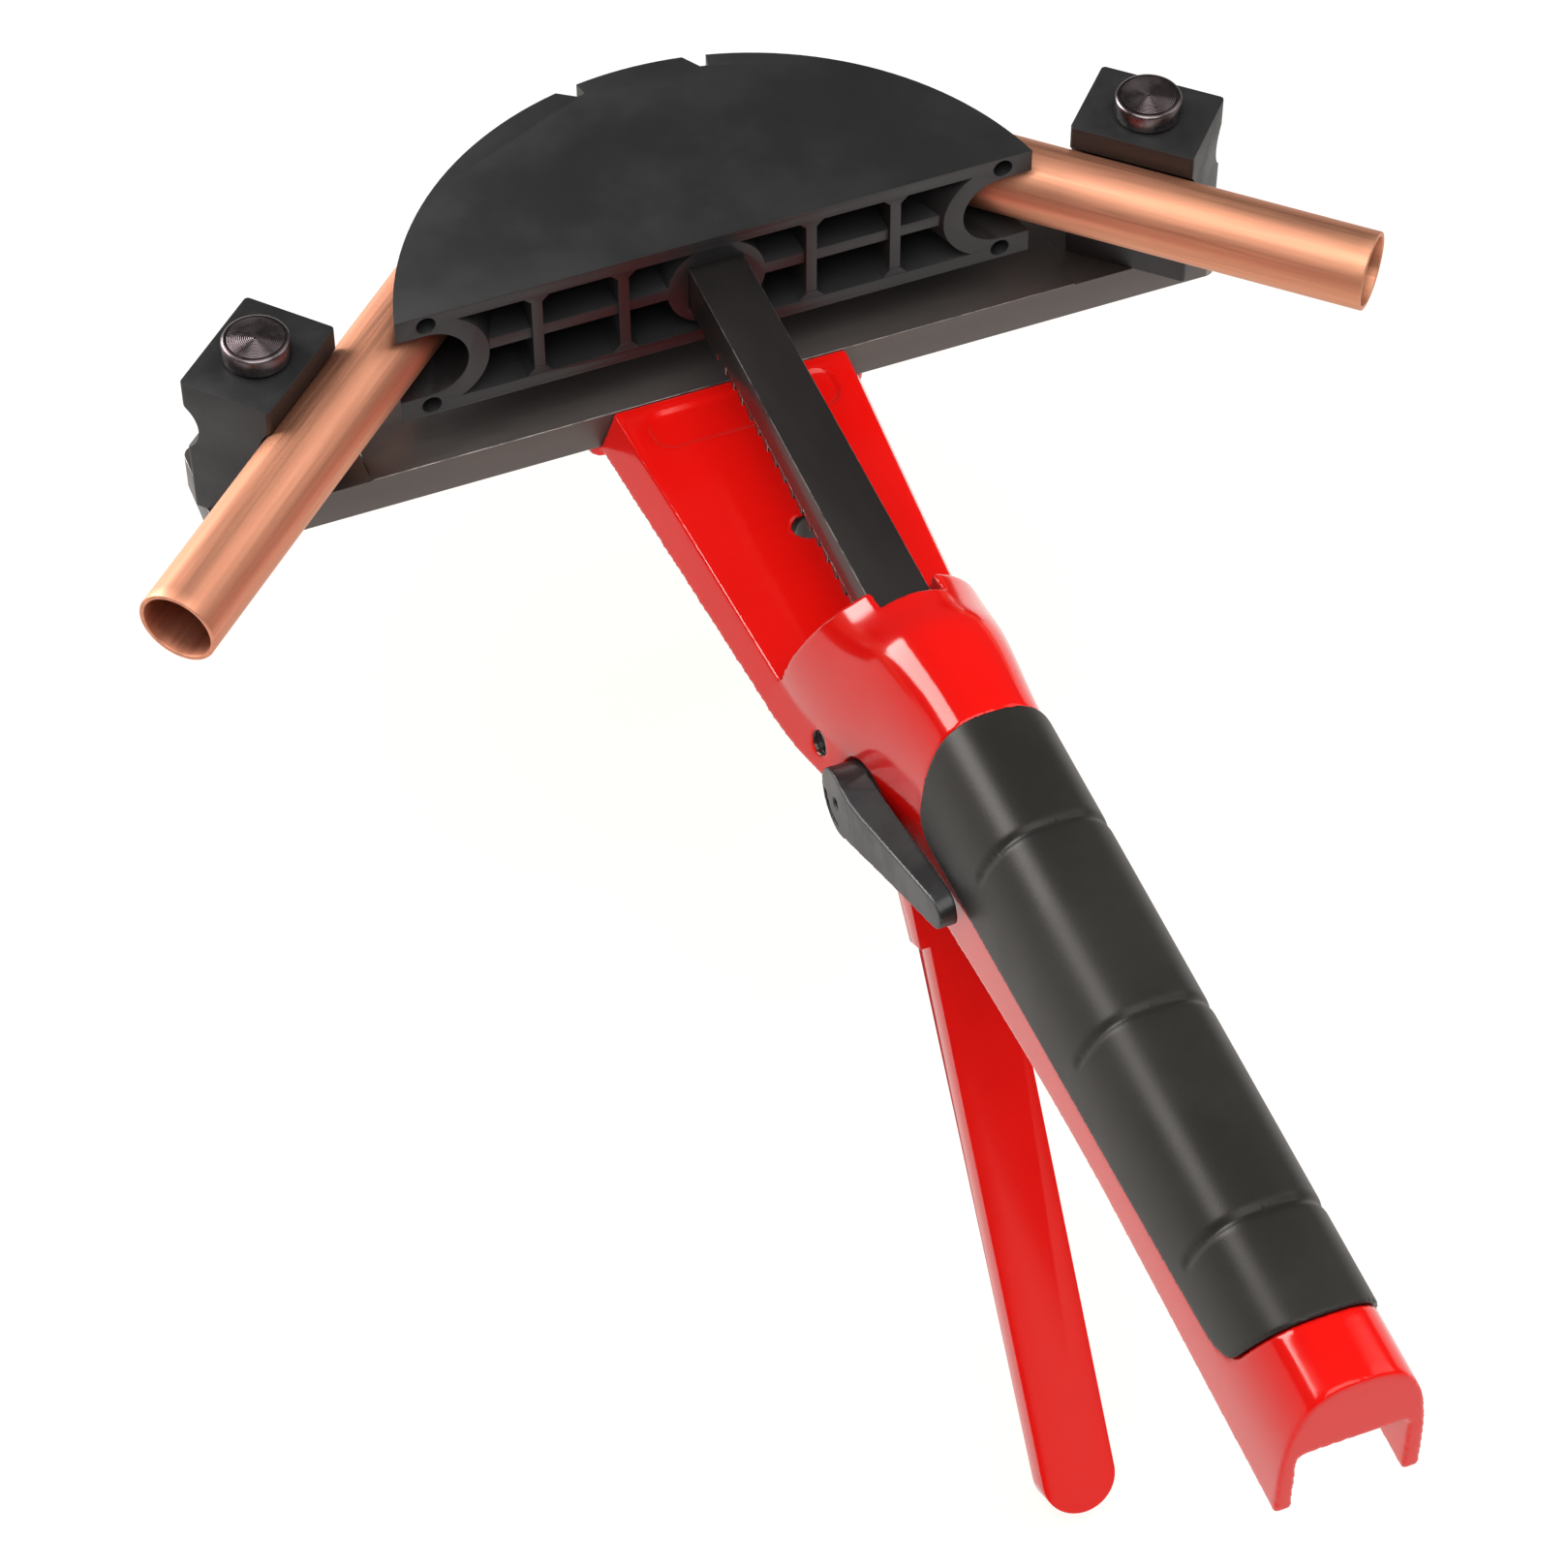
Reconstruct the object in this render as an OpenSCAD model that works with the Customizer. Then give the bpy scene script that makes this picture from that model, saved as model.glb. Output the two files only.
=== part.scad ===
// Hand-held ratchet tube bender with a cross beam, two swivelling counter-forms and a half-disc former.
// The frame has X along the cross beam, Y from the handle to the former and Z up.
// The origin is the middle of the beam's top face. All sizes are millimetres and degrees.

/* [Tube] */
// Outside diameter of the tube that is bent
tube_d = 18; // [15:0.5:20]
// Wall of the tube
tube_wall = 1.1; // [0.8:0.1:2]
// Radius of the bend at the tube's axis
bend_r = 70; // [64:1:76]
// Angle that each leg has been bent through
leg_angle = 43; // [38:0.5:46]
// Straight length of the left leg
left_leg = 127; // [80:1:180]
// Straight length of the right leg
right_leg = 120; // [80:1:180]

/* [Cross beam] */
// Length of the cross beam
beam_l = 240; // [234:1:280]
// Depth of the cross beam along Y
beam_d = 25; // [22:0.5:32]
// Thickness of the cross beam
beam_t = 9.5; // [8:0.5:14]
// Radius on the beam's upright corners
beam_corner_r = 3; // [1:0.5:6]
// Depth of the milled seats under the counter-forms
form_seat_t = 0.3; // [0.2:0.05:0.6]

/* [Pins and counter-forms] */
// Distance of each pin from the middle of the beam
pin_x = 104; // [100:0.5:107]
// Place of the pins across the beam
pin_y = -3; // [-5:0.5:3]
// Diameter of the pin's shank
pin_d = 10; // [8:0.5:12]
// Diameter of the pin's head
pin_head_d = 15; // [13.5:0.5:19]
// Height of the pin's head
pin_head_h = 5; // [3:0.5:8]
// Length of a counter-form along the tube
form_l = 29; // [24:0.5:34]
// Width of a counter-form across the tube
form_w = 22; // [20:0.5:26]
// Depth of the groove that the tube lies in
groove_depth = 3.5; // [2:0.25:4]
// Depth of the groove for the other tube size, on the far side
spare_groove_depth = 3.5; // [2:0.25:4]
// Radius of the groove for the other tube size
spare_groove_r = 8; // [6:0.5:10]
// Flange above the groove of a counter-form
form_flange = 3.8; // [3:0.2:8]

/* [Former] */
// Height of the tube's axis above the beam
axis_z = 24; // [23:0.5:28]
// Flange of the former above and below the groove
former_flange = 5.9; // [4.5:0.1:8]
// How far the flanges reach past the bend line
former_lip = 6.5; // [4:0.5:8.5]
// Distance of the open side from the bend's centre
chord_off = 18; // [12:0.5:24]
// Wall behind the groove
former_wall = 4.5; // [3:0.1:5.5]
// Thickness of the former's plates between its ribs
former_plate_t = 3.3; // [2.4:0.1:4.4]
// Thickness of the former's upright ribs
rib_t = 2.5; // [2:0.25:4.5]
// Thickness of the former's level rib
mid_rib_t = 3; // [2:0.25:4.5]
// Width of the thickened foot at each end of an upright rib
rib_foot_w = 6.2; // [4:0.2:8]
// Height of the thickened foot of a rib
rib_foot_h = 1.9; // [1:0.1:3]
// Distance of the inner upright ribs from the middle
rib_in_x = 22; // [19:0.5:26]
// Distance of the outer upright ribs from the middle
rib_out_x = 42; // [36:0.5:46]
// Radius of the boss that takes the rack's nose
boss_r = 11.5; // [10.5:0.25:13]
// Depth of the socket for the rack's nose
socket_d = 38; // [28:1:46]
// Angle of each sighting notch from the middle
notch_angle = 11.5; // [8:0.5:20]
// Width of a sighting notch
notch_w = 6.4; // [4:0.2:9]
// Depth of a sighting notch
notch_h = 3.7; // [2:0.1:5]
// Diameter of the holes in the flange tips
tip_hole_d = 4.5; // [3:0.25:5]

/* [Rack] */
// Width of the square rack bar
rack_w = 13; // [11:0.25:14]
// Height of the rack bar
rack_h = 12; // [10:0.25:13]
// Length of the rack bar
rack_l = 235; // [222:1:242]
// Spacing of the rack's teeth
tooth_pitch = 5; // [4:0.25:5.5]
// Depth of the rack's teeth
tooth_h = 2.4; // [1.6:0.1:3]

/* [Body casting] */
// Width of the head at the beam
head_front_w = 55; // [50:0.5:64]
// Width of the head at the collar
head_rear_w = 43.5; // [41:0.5:47]
// Length of the head from the beam to the collar
head_l = 87; // [84:0.5:96]
// Thickness of the ledge under the beam
ledge_t = 3.5; // [2.5:0.25:5]
// Depth of the ledge under the beam
ledge_d = 20; // [16:0.5:22]
// Width of the ledge under the beam
ledge_w = 66; // [62:0.5:72]
// Thickness of the head at the beam
head_front_h = 10.2; // [9.8:0.1:11.5]
// Thickness of the head at the collar
head_rear_h = 8; // [7.2:0.2:9]
// Lean of the head's sides, which spread downwards, in degrees
head_lean = 20; // [5:1:24]
// Length of the handle behind the collar
handle_l = 230; // [218:1:254]
// Width of the handle
handle_w = 29.4; // [28:0.2:32]
// Wall of the handle beside the channel
handle_wall = 3.5; // [2.8:0.1:4]
// Cover of casting above the rack in the handle
handle_roof = 14.5; // [11:0.5:18]
// Cover of casting above the rack at the collar
collar_roof = 6.5; // [4:0.25:9]
// Height of the handle's lower edge at its end
handle_low = 8.5; // [5:0.5:11]
// Depth of the recessed panel in the head's top
panel_depth = 0.8; // [0.4:0.1:1.5]
// Diameter of the hole in the head's top
head_hole_d = 7; // [5:0.25:9]

/* [Grip] */
// Thickness of the rubber grip
grip_t = 2.2; // [1.6:0.1:3]
// How far the grip stands proud of the casting
grip_proud = 0.7; // [0.3:0.1:1.2]
// Length of the grip along its top
grip_l = 155; // [140:1:162]

/* [Drive lever] */
// Length of the lever from its pivot
lever_l = 186; // [150:1:204]
// Width of the lever's blade
lever_w = 17; // [14:0.5:18]
// Thickness of the lever's blade at its tip
lever_t = 7; // [5:0.25:9]
// Angle below the handle at which the lever rests open
lever_open = 57; // [50:0.5:62]
// Diameter of the lever's pivot pin
pivot_d = 5; // [4.4:0.2:6]
// Distance of the drive pawl's pin from the lever's pivot
pawl_arm = 9; // [8.5:0.1:9.4]
// Diameter of the pawl pins
pawl_pin_d = 3.6; // [3:0.1:4]

/* [Release lever] */
// Reach of the release lever from its shaft
release_l = 45; // [38:1:50]
// Radius of the release lever's boss
release_boss_r = 7.75; // [7:0.25:9]
// Thickness of the release lever at its boss
release_t = 7.75; // [6.5:0.25:8.5]
// Diameter of the release shaft
release_d = 8; // [6:0.25:9]

/* [Hidden] */
$fn = 48;
eps = 0.01;
far = 400;

// Clearances: a running fit, a loose gap between moving bodies, a fit within one body and a seat between faces
run_fit = 0.05;
gap = 0.4;
snug = 0.1;
seat = 0.3;

// Heights that follow from the tube's axis
tube_r = tube_d / 2;
rack_low = axis_z - rack_h / 2;
rack_high = axis_z + rack_h / 2;
former_half_h = tube_r + snug + former_flange;
former_low = axis_z - former_half_h;
former_high = axis_z + former_half_h;
form_groove_r = tube_r + seat + run_fit;
form_h = axis_z + form_groove_r + form_flange;

// The bend's centre follows from the pins: the tube lies in the grooves of both counter-forms
tube_to_pin = form_w / 2 - groove_depth + form_groove_r;
centre_y = pin_y - (bend_r + tube_to_pin - pin_x * sin(leg_angle)) / cos(leg_angle);
former_r = bend_r + former_lip;
groove_r = tube_r + snug;
chord_y = centre_y + chord_off;
rack_front_y = chord_y + socket_d - snug;
rack_back_y = rack_front_y - rack_l;
stroke = 13 * tooth_pitch;
former_pin_y = rack_front_y - 12;
former_pin_l = 2 * boss_r - 3;
tip_hole_x = sqrt(pow(former_r, 2) - pow(chord_off, 2)) - 7;
stop_y = rack_back_y + 4;
stop_z = axis_z - 2;

// Body casting
beam_front_y = -beam_d / 2;
collar_y = beam_front_y - head_l;
ledge_low = beam_t + ledge_t;
head_taper = atan((head_front_w - head_rear_w) / 2 / head_l);
end_y = collar_y - handle_l;
collar_top = rack_high + collar_roof;
handle_top = rack_high + handle_roof;
chan_half = handle_w / 2 - handle_wall;
chan_top = rack_high - 4.2;
slot_half = rack_w / 2 + gap;
collar_rake = 0.37;
collar_wall = 10.5;
chan_front_y = collar_y - collar_wall;
head_step = 0.3;
head_lap = 2;
slot_back_y = rack_back_y - stroke - 6;
hole_y = collar_y + 39.5;
panel_w = 44;
panel_d = 11;
panel_r = 4;
panel_y = beam_front_y - 9;
window_d = 18.7;
grip_front_y = collar_y - 60;
grip_back_y = grip_front_y - grip_l;
grip_low = 14.8;

// Drive lever
pivot_y = collar_y - 19.5;
pivot_z = 0;
tip_r = rack_low - pivot_z - 0.6;
cheek_t = 2.6;
cheek_out = chan_half - 0.5;
cheek_in = cheek_out - cheek_t;
hub_r = pivot_d / 2 + 4.6;
blade_high = 8;
pawl_half = cheek_in - seat;
pawl_pin_angle = 130;
pawl_tip_angle = 123;
pawl_barrel_r = pawl_pin_d / 2 + 1.2;
pawl_spring_w = 3.5;

// Holding pawl, behind the lever's pivot
hold_y = pivot_y - 33;
hold_z = 10;
hold_tip_y = pivot_y - 19;
hold_barrel_r = pawl_pin_d / 2 + 1.9;
hold_half = 5;
hold_pin_left = chan_half + 1.8;
peg_r = 1.5;
peg_y = hold_tip_y - 6;
peg_z = rack_low - gap - 4.6;
tooth_face_y = hold_tip_y + gap;

// Release lever in a flat round recess, and its shaft with a crank in a pocket of the left wall
release_y = pivot_y - 17;
release_z = 0.5;
release_rise = 17;
release_toe = 4;
release_tip_r = 4.2;
release_cap = 1.5;
release_eye_r = 1.4;
recess_r = release_boss_r + 0.5;
release_side = -skin_half(collar_y - release_y + recess_r) + 0.1;
release_in = release_side - seat;
release_out = release_in - release_t;
roll_d = 1.8;
roll_x = release_in - release_t * 0.3;
crank_in = -chan_half - 0.5;
crank_t = 2.2;
crank_pocket = 3.2;
hook_r = 1.6;
hook_y = peg_y - release_y;
hook_z = peg_z + peg_r + gap + hook_r - release_z;

// Fasteners and the rack's guide plate
screw_x = 17;
screw_y = beam_front_y + ledge_d / 2;
screw_d = 6;
screw_head_d = 10;
screw_head_h = 5.5;
screw_grip = 6;
clip_t = 1.2;
clip_w = 1.6;
guide_y = hold_y - 33;
guide_l = 22;
guide_t = 4;
guide_half = chan_half + 1.5;
guide_top = rack_low - seat;

// Helpers
module along_x(x0, x1) {
    translate([x0, 0, 0])
        rotate([90, 0, 90])
            linear_extrude(height = x1 - x0) children();
}
module rod_x(x0, x1, y, z, r) {
    translate([x0, y, z])
        rotate([0, 90, 0])
            cylinder(r = r, h = x1 - x0);
}
module rod_y(y0, y1, x, z, r) {
    translate([x, y0, z])
        rotate([-90, 0, 0])
            cylinder(r = r, h = y1 - y0);
}
module box(low, high) {
    translate(low) cube(high - low);
}
module round_plate(w, d, r) {
    for (x = [-1, 1], y = [-1, 1])
        translate([x * (w / 2 - r), y * (d / 2 - r)]) circle(r = r);
    square([w - 2 * r, d], center = true);
    square([w, d - 2 * r], center = true);
}
// Two round eyes joined by a web whose edges lie just inside their outer tangents
module link(p, r1, q, r2) {
    inset = 0.98;
    a = atan2(q[1] - p[1], q[0] - p[0]);
    b = acos((r1 - r2) / norm(q - p));
    translate(p) circle(r = r1);
    translate(q) circle(r = r2);
    polygon([p + polar(inset * r1, a + b), q + polar(inset * r2, a + b),
        q + polar(inset * r2, a - b), p + polar(inset * r1, a - b)]);
}
function polar(r, a) = r * [cos(a), sin(a)];

// A round wire wound along X, swept as one tube
function coil_point(r, pitch, t) = [pitch * t / 360, r * cos(t), r * sin(t)];
function coil_ring(r, wire, pitch, t, sides) =
    [for (k = [0:sides - 1])
        let (a = 360 * k / sides, q = r + wire / 2 * cos(a))
            coil_point(q, pitch, t) + [wire / 2 * sin(a), 0, 0]];
module coil(r, wire, turns, pitch) {
    sides = 6;
    steps = 8;
    rings = round(turns * steps);
    echo(least_gap = norm(coil_point(r, pitch, 360) - coil_point(r, pitch, 0)) - wire);
    points = [for (i = [0:rings]) each coil_ring(r, wire, pitch, 360 * i / steps, sides)];
    walls = [for (i = [0:rings - 1], k = [0:sides - 1])
        let (a = i * sides + k, b = i * sides + (k + 1) % sides)
            each [[a, b, b + sides], [a, b + sides, a + sides]]];
    first = [[for (k = [0:sides - 1]) sides - 1 - k]];
    last = [[for (k = [0:sides - 1]) rings * sides + k]];
    polyhedron(points, concat(first, walls, last));
}

// The casting's skin behind the collar: sections that change smoothly with the distance s from the collar
function ease(t) = let (u = min(max(t, 0), 1)) u * u * (3 - 2 * u);
function skin_half(s) = handle_w / 2 + ((head_rear_w - handle_w) / 2 + head_step) * (1 - ease(s / 60));
function skin_top(s) = collar_top + (handle_top - collar_top) * sin(90 * min(s / 52, 1));
function skin_spring(s) = 0.6 + 11.4 * ease(s / 60);
function skin_power(s) = 1 - 0.3 * ease(s / 45);
function skin_flare(s) = tan(head_lean) * (1 - ease(s / 45));
function skin_low(s) = handle_low - (handle_low + head_rear_h) * (1 - ease(s / 160));
function skin_section(s, grow) =
    let (w = skin_half(s) + grow, top = skin_top(s) + grow, base = skin_spring(s), low = skin_low(s),
        e = skin_power(s), lean = collar_rake * (1 - ease(s / 40)),
        foot = w + skin_flare(s) * (base - low), n = 20)
    [for (p = concat([[-foot, low]],
            [for (i = [0:n]) let (t = 180 * i / n)
                [-w * sign(cos(t)) * pow(abs(cos(t)), e), base + (top - base) * pow(sin(t), e)]],
            [[foot, low]]))
        [p[0], collar_y - s - lean * p[1], p[1]]];
skin_steps = [0, 6, 12, 20, 28, 36, 46, 58, 72, 100, 135, 170, handle_l];
module skin(grow) {
    sections = [for (s = skin_steps) skin_section(s, grow)];
    n = len(sections[0]);
    m = len(sections);
    walls = [for (i = [0:m - 2], k = [0:n - 1])
        let (a = i * n + k, b = i * n + (k + 1) % n)
            each [[a, b + n, a + n], [a, b, b + n]]];
    end = (m - 1) * n;
    first = [for (k = [1:n - 2]) [0, k + 1, k]];
    last = [for (k = [1:n - 2]) [end, end + k, end + k + 1]];
    polyhedron([for (s = sections) each s], concat(first, walls, last));
}

// Outline of the grip seen from the side: an upright front edge with a rounded lower corner, a lower edge that
// rises to the rear and a rear edge that leans back
module grip_outline(trim) {
    front = grip_front_y - trim;
    back = grip_back_y + trim;
    low = grip_low + trim;
    rise = 8.8;
    polygon([[front, far], [front, low + 5], [front - 0.6, low + 2.8], [front - 2.6, low + 0.8],
        [front - 6, low], [back + 18, low + rise - 0.6], [back + 13, low + rise + 0.3],
        [back + 9, low + rise + 2.6], [back + 6.5, low + rise + 5.6], [back + 3, low + rise + 14],
        [back, handle_top + grip_proud], [back, far]]);
}

// The head tapers in plan and in thickness; its sides lean, and its rear end runs into the collar
module head_block() {
    rear = collar_y - head_lap;
    difference() {
        along_x(-head_front_w, head_front_w)
            polygon([[beam_front_y, 0], [beam_front_y, -head_front_h], [rear, head_step - head_rear_h],
                [rear, 0]]);
        for (side = [0, 1])
            mirror([side, 0, 0])
                translate([head_front_w / 2, beam_front_y, 0])
                    rotate([0, 0, -head_taper])
                        rotate([0, -head_lean, 0]) box([0, -far, -far], [far, far, far]);
    }
}

// Flange under the beam, with a narrower root under the head
module beam_ledge() {
    root_l = 18;
    translate([0, beam_front_y + ledge_d / 2, -ledge_low])
        linear_extrude(height = ledge_t) {
            round_plate(ledge_w, ledge_d, 3);
            translate([0, -root_l / 2]) round_plate(head_rear_w, ledge_d + root_l, 3);
        }
}

module body_casting() {
    color([0.80, 0.03, 0.02])
    difference() {
        union() {
            difference() {
                skin(0);
                difference() {
                    along_x(-far, far) grip_outline(0);
                    skin(grip_proud - grip_t);
                }
            }
            head_block();
            beam_ledge();
        }
        // Recessed panel in the head's top
        translate([0, panel_y, -panel_depth])
            linear_extrude(height = panel_depth + 1) round_plate(panel_w, panel_d, panel_r);
        translate([0, hole_y, -head_front_h - 1]) cylinder(d = head_hole_d, h = head_front_h + 2);
        // Channel for the lever, slot for the rack and its window through the collar
        box([-chan_half, end_y - 1, -far], [chan_half, chan_front_y, chan_top]);
        box([-slot_half, slot_back_y, rack_low - gap], [slot_half, collar_y + 5, rack_high + gap]);
        box([-slot_half, collar_y - window_d, axis_z], [slot_half, collar_y + 5, far]);
        // Flat round recess for the release lever, and a pocket for the crank of its shaft
        rod_x(-far, release_side, release_y, release_z, recess_r);
        box([-chan_half - crank_pocket, release_y - 13, release_z - release_d / 2 - 0.5],
            [-chan_half + 1, release_y + 6, release_z + hook_z + 5]);
        // Bores for the pins and the release shaft
        rod_x(-far, far, pivot_y, pivot_z, pivot_d / 2 + run_fit);
        rod_x(-hold_pin_left - snug, far, hold_y, hold_z, pawl_pin_d / 2 + run_fit);
        rod_x(-far, 0, release_y, release_z, release_d / 2 + run_fit);
        // Seat of the guide plate and holes for the beam's screws
        guide_box();
        for (x = [-screw_x, screw_x])
            translate([x, screw_y, -ledge_low - 1]) cylinder(d = screw_d + 0.6, h = ledge_t + 2);
    }
}
module hand_grip() {
    color([0.16, 0.155, 0.14])
    difference() {
        intersection() {
            skin(grip_proud);
            along_x(-far, far) grip_outline(snug);
        }
        skin(grip_proud - grip_t);
    }
}

module cross_beam() {
    color([0.22, 0.205, 0.2])
    difference() {
        translate([0, 0, -beam_t])
            linear_extrude(height = beam_t) round_plate(beam_l, beam_d, beam_corner_r);
        for (x = [-pin_x, pin_x])
            translate([x, pin_y, -beam_t - 1]) cylinder(d = pin_d + 2 * run_fit, h = beam_t + 2);
        for (x = [-screw_x, screw_x])
            translate([x, screw_y, -beam_t - 1]) cylinder(d = screw_d + 2 * run_fit, h = screw_grip + 1.5);
        // Milled seats under the counter-forms, out to the beam's ends
        for (side = [0, 1])
            mirror([side, 0, 0])
                box([pin_x - norm([form_l, form_w]) / 2 - 2, -beam_d, -form_seat_t], [far, beam_d, 1]);
    }
}

module beam_screws() {
    color([0.25, 0.25, 0.26])
    for (x = [-screw_x, screw_x])
        translate([x, screw_y, -ledge_low])
            difference() {
                union() {
                    cylinder(d = screw_d, h = ledge_t + screw_grip);
                    translate([0, 0, -screw_head_h]) cylinder(d = screw_head_d, h = screw_head_h);
                }
                translate([0, 0, -screw_head_h - 1]) cylinder(d = screw_d * 0.96, h = 4, $fn = 6);
            }
}

// A drop-in pin with a turned head; its foot passes the beam and carries a clip
module form_pin(side) {
    foot = beam_t + 4;
    color([0.62, 0.60, 0.60])
    translate([side * pin_x, pin_y, 0])
        difference() {
            union() {
                translate([0, 0, -foot]) cylinder(d = pin_d, h = foot + form_h + seat + pin_head_h / 2);
                translate([0, 0, form_h + seat]) cylinder(d = pin_head_d, h = pin_head_h - 0.6);
                translate([0, 0, form_h + seat + pin_head_h - 0.6])
                    cylinder(d1 = pin_head_d, d2 = pin_head_d - 1.2, h = 0.6);
            }
            translate([0, 0, -beam_t - seat - clip_t])
                difference() {
                    cylinder(d = pin_d + 2, h = clip_t);
                    translate([0, 0, -1]) cylinder(d = pin_d - clip_w, h = clip_t + 2);
                }
        }
}
module left_pin() { form_pin(-1); }
module right_pin() { form_pin(1); }

module pin_clips() {
    color([0.45, 0.45, 0.46])
    for (x = [-pin_x, pin_x])
        translate([x, pin_y, -beam_t - seat - clip_t + snug])
            difference() {
                cylinder(d = pin_d + 4, h = clip_t - 2 * snug);
                translate([0, 0, -1]) cylinder(d = pin_d - clip_w + 2 * snug, h = clip_t + 2);
                translate([-pin_d * 0.3, 0, -1]) cube([pin_d * 0.6, pin_d, clip_t + 2]);
            }
}

// A spool block: the groove for the tube faces the former, the other size lies on the far side
module counter_form(side) {
    edge = 1;
    color([0.06, 0.06, 0.06])
    translate([side * pin_x, pin_y, 0])
        rotate([0, 0, -side * leg_angle])
            difference() {
                translate([0, 0, -form_seat_t])
                    linear_extrude(height = form_h + form_seat_t) round_plate(form_l, form_w, edge);
                translate([-far / 2, -tube_to_pin, axis_z])
                    rotate([0, 90, 0]) cylinder(r = form_groove_r, h = far);
                translate([-far / 2, form_w / 2 - spare_groove_depth + spare_groove_r, axis_z])
                    rotate([0, 90, 0]) cylinder(r = spare_groove_r, h = far);
                translate([0, 0, -1]) cylinder(d = pin_d + 2 * run_fit, h = form_h + 2);
            }
}
module left_counter_form() { translate([0, 0, snug]) counter_form(-1); }
module right_counter_form() { translate([0, 0, snug]) counter_form(1); }

// Square bar with saw teeth underneath
module rack_bar() {
    first = ceil((rack_back_y + 13 - tooth_face_y) / tooth_pitch);
    last = floor((chord_y - 12 - tooth_face_y) / tooth_pitch);
    land = 0.8;
    root = 0.6;
    color([0.09, 0.085, 0.085])
    difference() {
        box([-rack_w / 2, rack_back_y, rack_low], [rack_w / 2, rack_front_y, rack_high]);
        along_x(-far, far)
            for (i = [first:last])
                translate([tooth_face_y + i * tooth_pitch, rack_low])
                    polygon([[0, -1], [0, tooth_h], [-root, tooth_h], [land - tooth_pitch, 0],
                        [land - tooth_pitch, -1]]);
        translate([0, former_pin_y, rack_low - 1]) cylinder(d = pawl_pin_d + 2 * run_fit, h = rack_h + 2);
        rod_x(-far, far, stop_y, stop_z, pawl_pin_d / 2 + run_fit);
    }
}
module former_profile() {
    root_r = bend_r - 2;
    tip = former_half_h - groove_r;
    for (z = [former_low, former_high - former_plate_t])
        translate([0, z]) square([bend_r, former_plate_t]);
    for (z = [former_low, former_high - tip])
        translate([root_r, z]) square([former_r - root_r, tip]);
    difference() {
        translate([bend_r, axis_z]) circle(r = groove_r + former_wall);
        translate([bend_r, axis_z]) circle(r = groove_r);
        translate([bend_r, former_low - 10]) square([far, far]);
        translate([0, former_high - eps]) square([far, far]);
        translate([0, former_low - far + eps]) square([far, far]);
    }
}

// The thickened foot where a rib meets a plate; way is 1 on the lower plate and -1 on the upper one
module rib_foot(x, z, way) {
    sunk = 0.5;
    translate([x, chord_y + 0.2, z])
        rotate([-90, 0, 0])
            linear_extrude(height = far)
                polygon([[-rib_foot_w / 2, way * sunk], [rib_foot_w / 2, way * sunk], [rib_foot_w / 2, 0],
                    [rib_foot_w / 2 - rib_foot_h, -way * rib_foot_h],
                    [rib_foot_h - rib_foot_w / 2, -way * rib_foot_h], [-rib_foot_w / 2, 0]]);
}

module bending_former() {
    socket = rack_w / 2 + snug;
    notch_foot = 1.8;
    inner_r = bend_r - groove_r - former_wall / 2;
    color([0.045, 0.043, 0.043])
    difference() {
        union() {
            intersection() {
                translate([0, centre_y, 0]) rotate_extrude(angle = 180, $fn = 96) former_profile();
                box([-far, chord_y, -far], [far, far, far]);
            }
            intersection() {
                translate([0, centre_y, former_low]) cylinder(r = inner_r, h = 2 * former_half_h, $fn = 96);
                box([-far, chord_y, former_low], [far, far, former_high]);
                union() {
                    box([-far, chord_y + 1.5, axis_z - mid_rib_t / 2], [far, far, axis_z + mid_rib_t / 2]);
                    for (x = [-rib_out_x, -rib_in_x, rib_in_x, rib_out_x]) {
                        box([x - rib_t / 2, chord_y + 0.4, former_low], [x + rib_t / 2, far, former_high]);
                        rib_foot(x, former_low + former_plate_t, 1);
                        rib_foot(x, former_high - former_plate_t, -1);
                    }
                    rod_y(chord_y + 1.5, chord_y + socket_d + 6, 0, axis_z, boss_r);
                }
            }
        }
        box([-socket, chord_y - 1, rack_low - snug], [socket, chord_y + socket_d, rack_high + snug]);
        translate([0, former_pin_y, axis_z - former_pin_l / 2 - snug])
            cylinder(d = pawl_pin_d + 2 * run_fit, h = former_pin_l + 2 * snug);
        // Sighting notches in the upper flange, square on one side
        for (a = [-notch_angle, notch_angle])
            translate([0, centre_y, axis_z + groove_r + eps])
                rotate([0, 0, 90 + a])
                    translate([former_r, 0, 0])
                        linear_extrude(height = former_flange + 1)
                            polygon([[1, -notch_w / 2], [-notch_h, -notch_w / 2], [-notch_h, notch_foot - notch_w / 2],
                                [1, notch_w / 2]]);
        // Holes in the tips of both flanges
        for (x = [-tip_hole_x, tip_hole_x], z = [former_low, former_high])
            rod_y(chord_y - 1, chord_y + 6, x, z + (axis_z - z) / former_half_h * former_flange / 2, tip_hole_d / 2);
    }
}
module former_pin() {
    color([0.5, 0.5, 0.5])
    translate([0, former_pin_y, axis_z - former_pin_l / 2]) cylinder(d = pawl_pin_d, h = former_pin_l);
}

module rack_stop_pin() {
    color([0.5, 0.5, 0.5])
    rod_x(-chan_half + 3, chan_half - 3, stop_y, stop_z, pawl_pin_d / 2);
}

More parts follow.
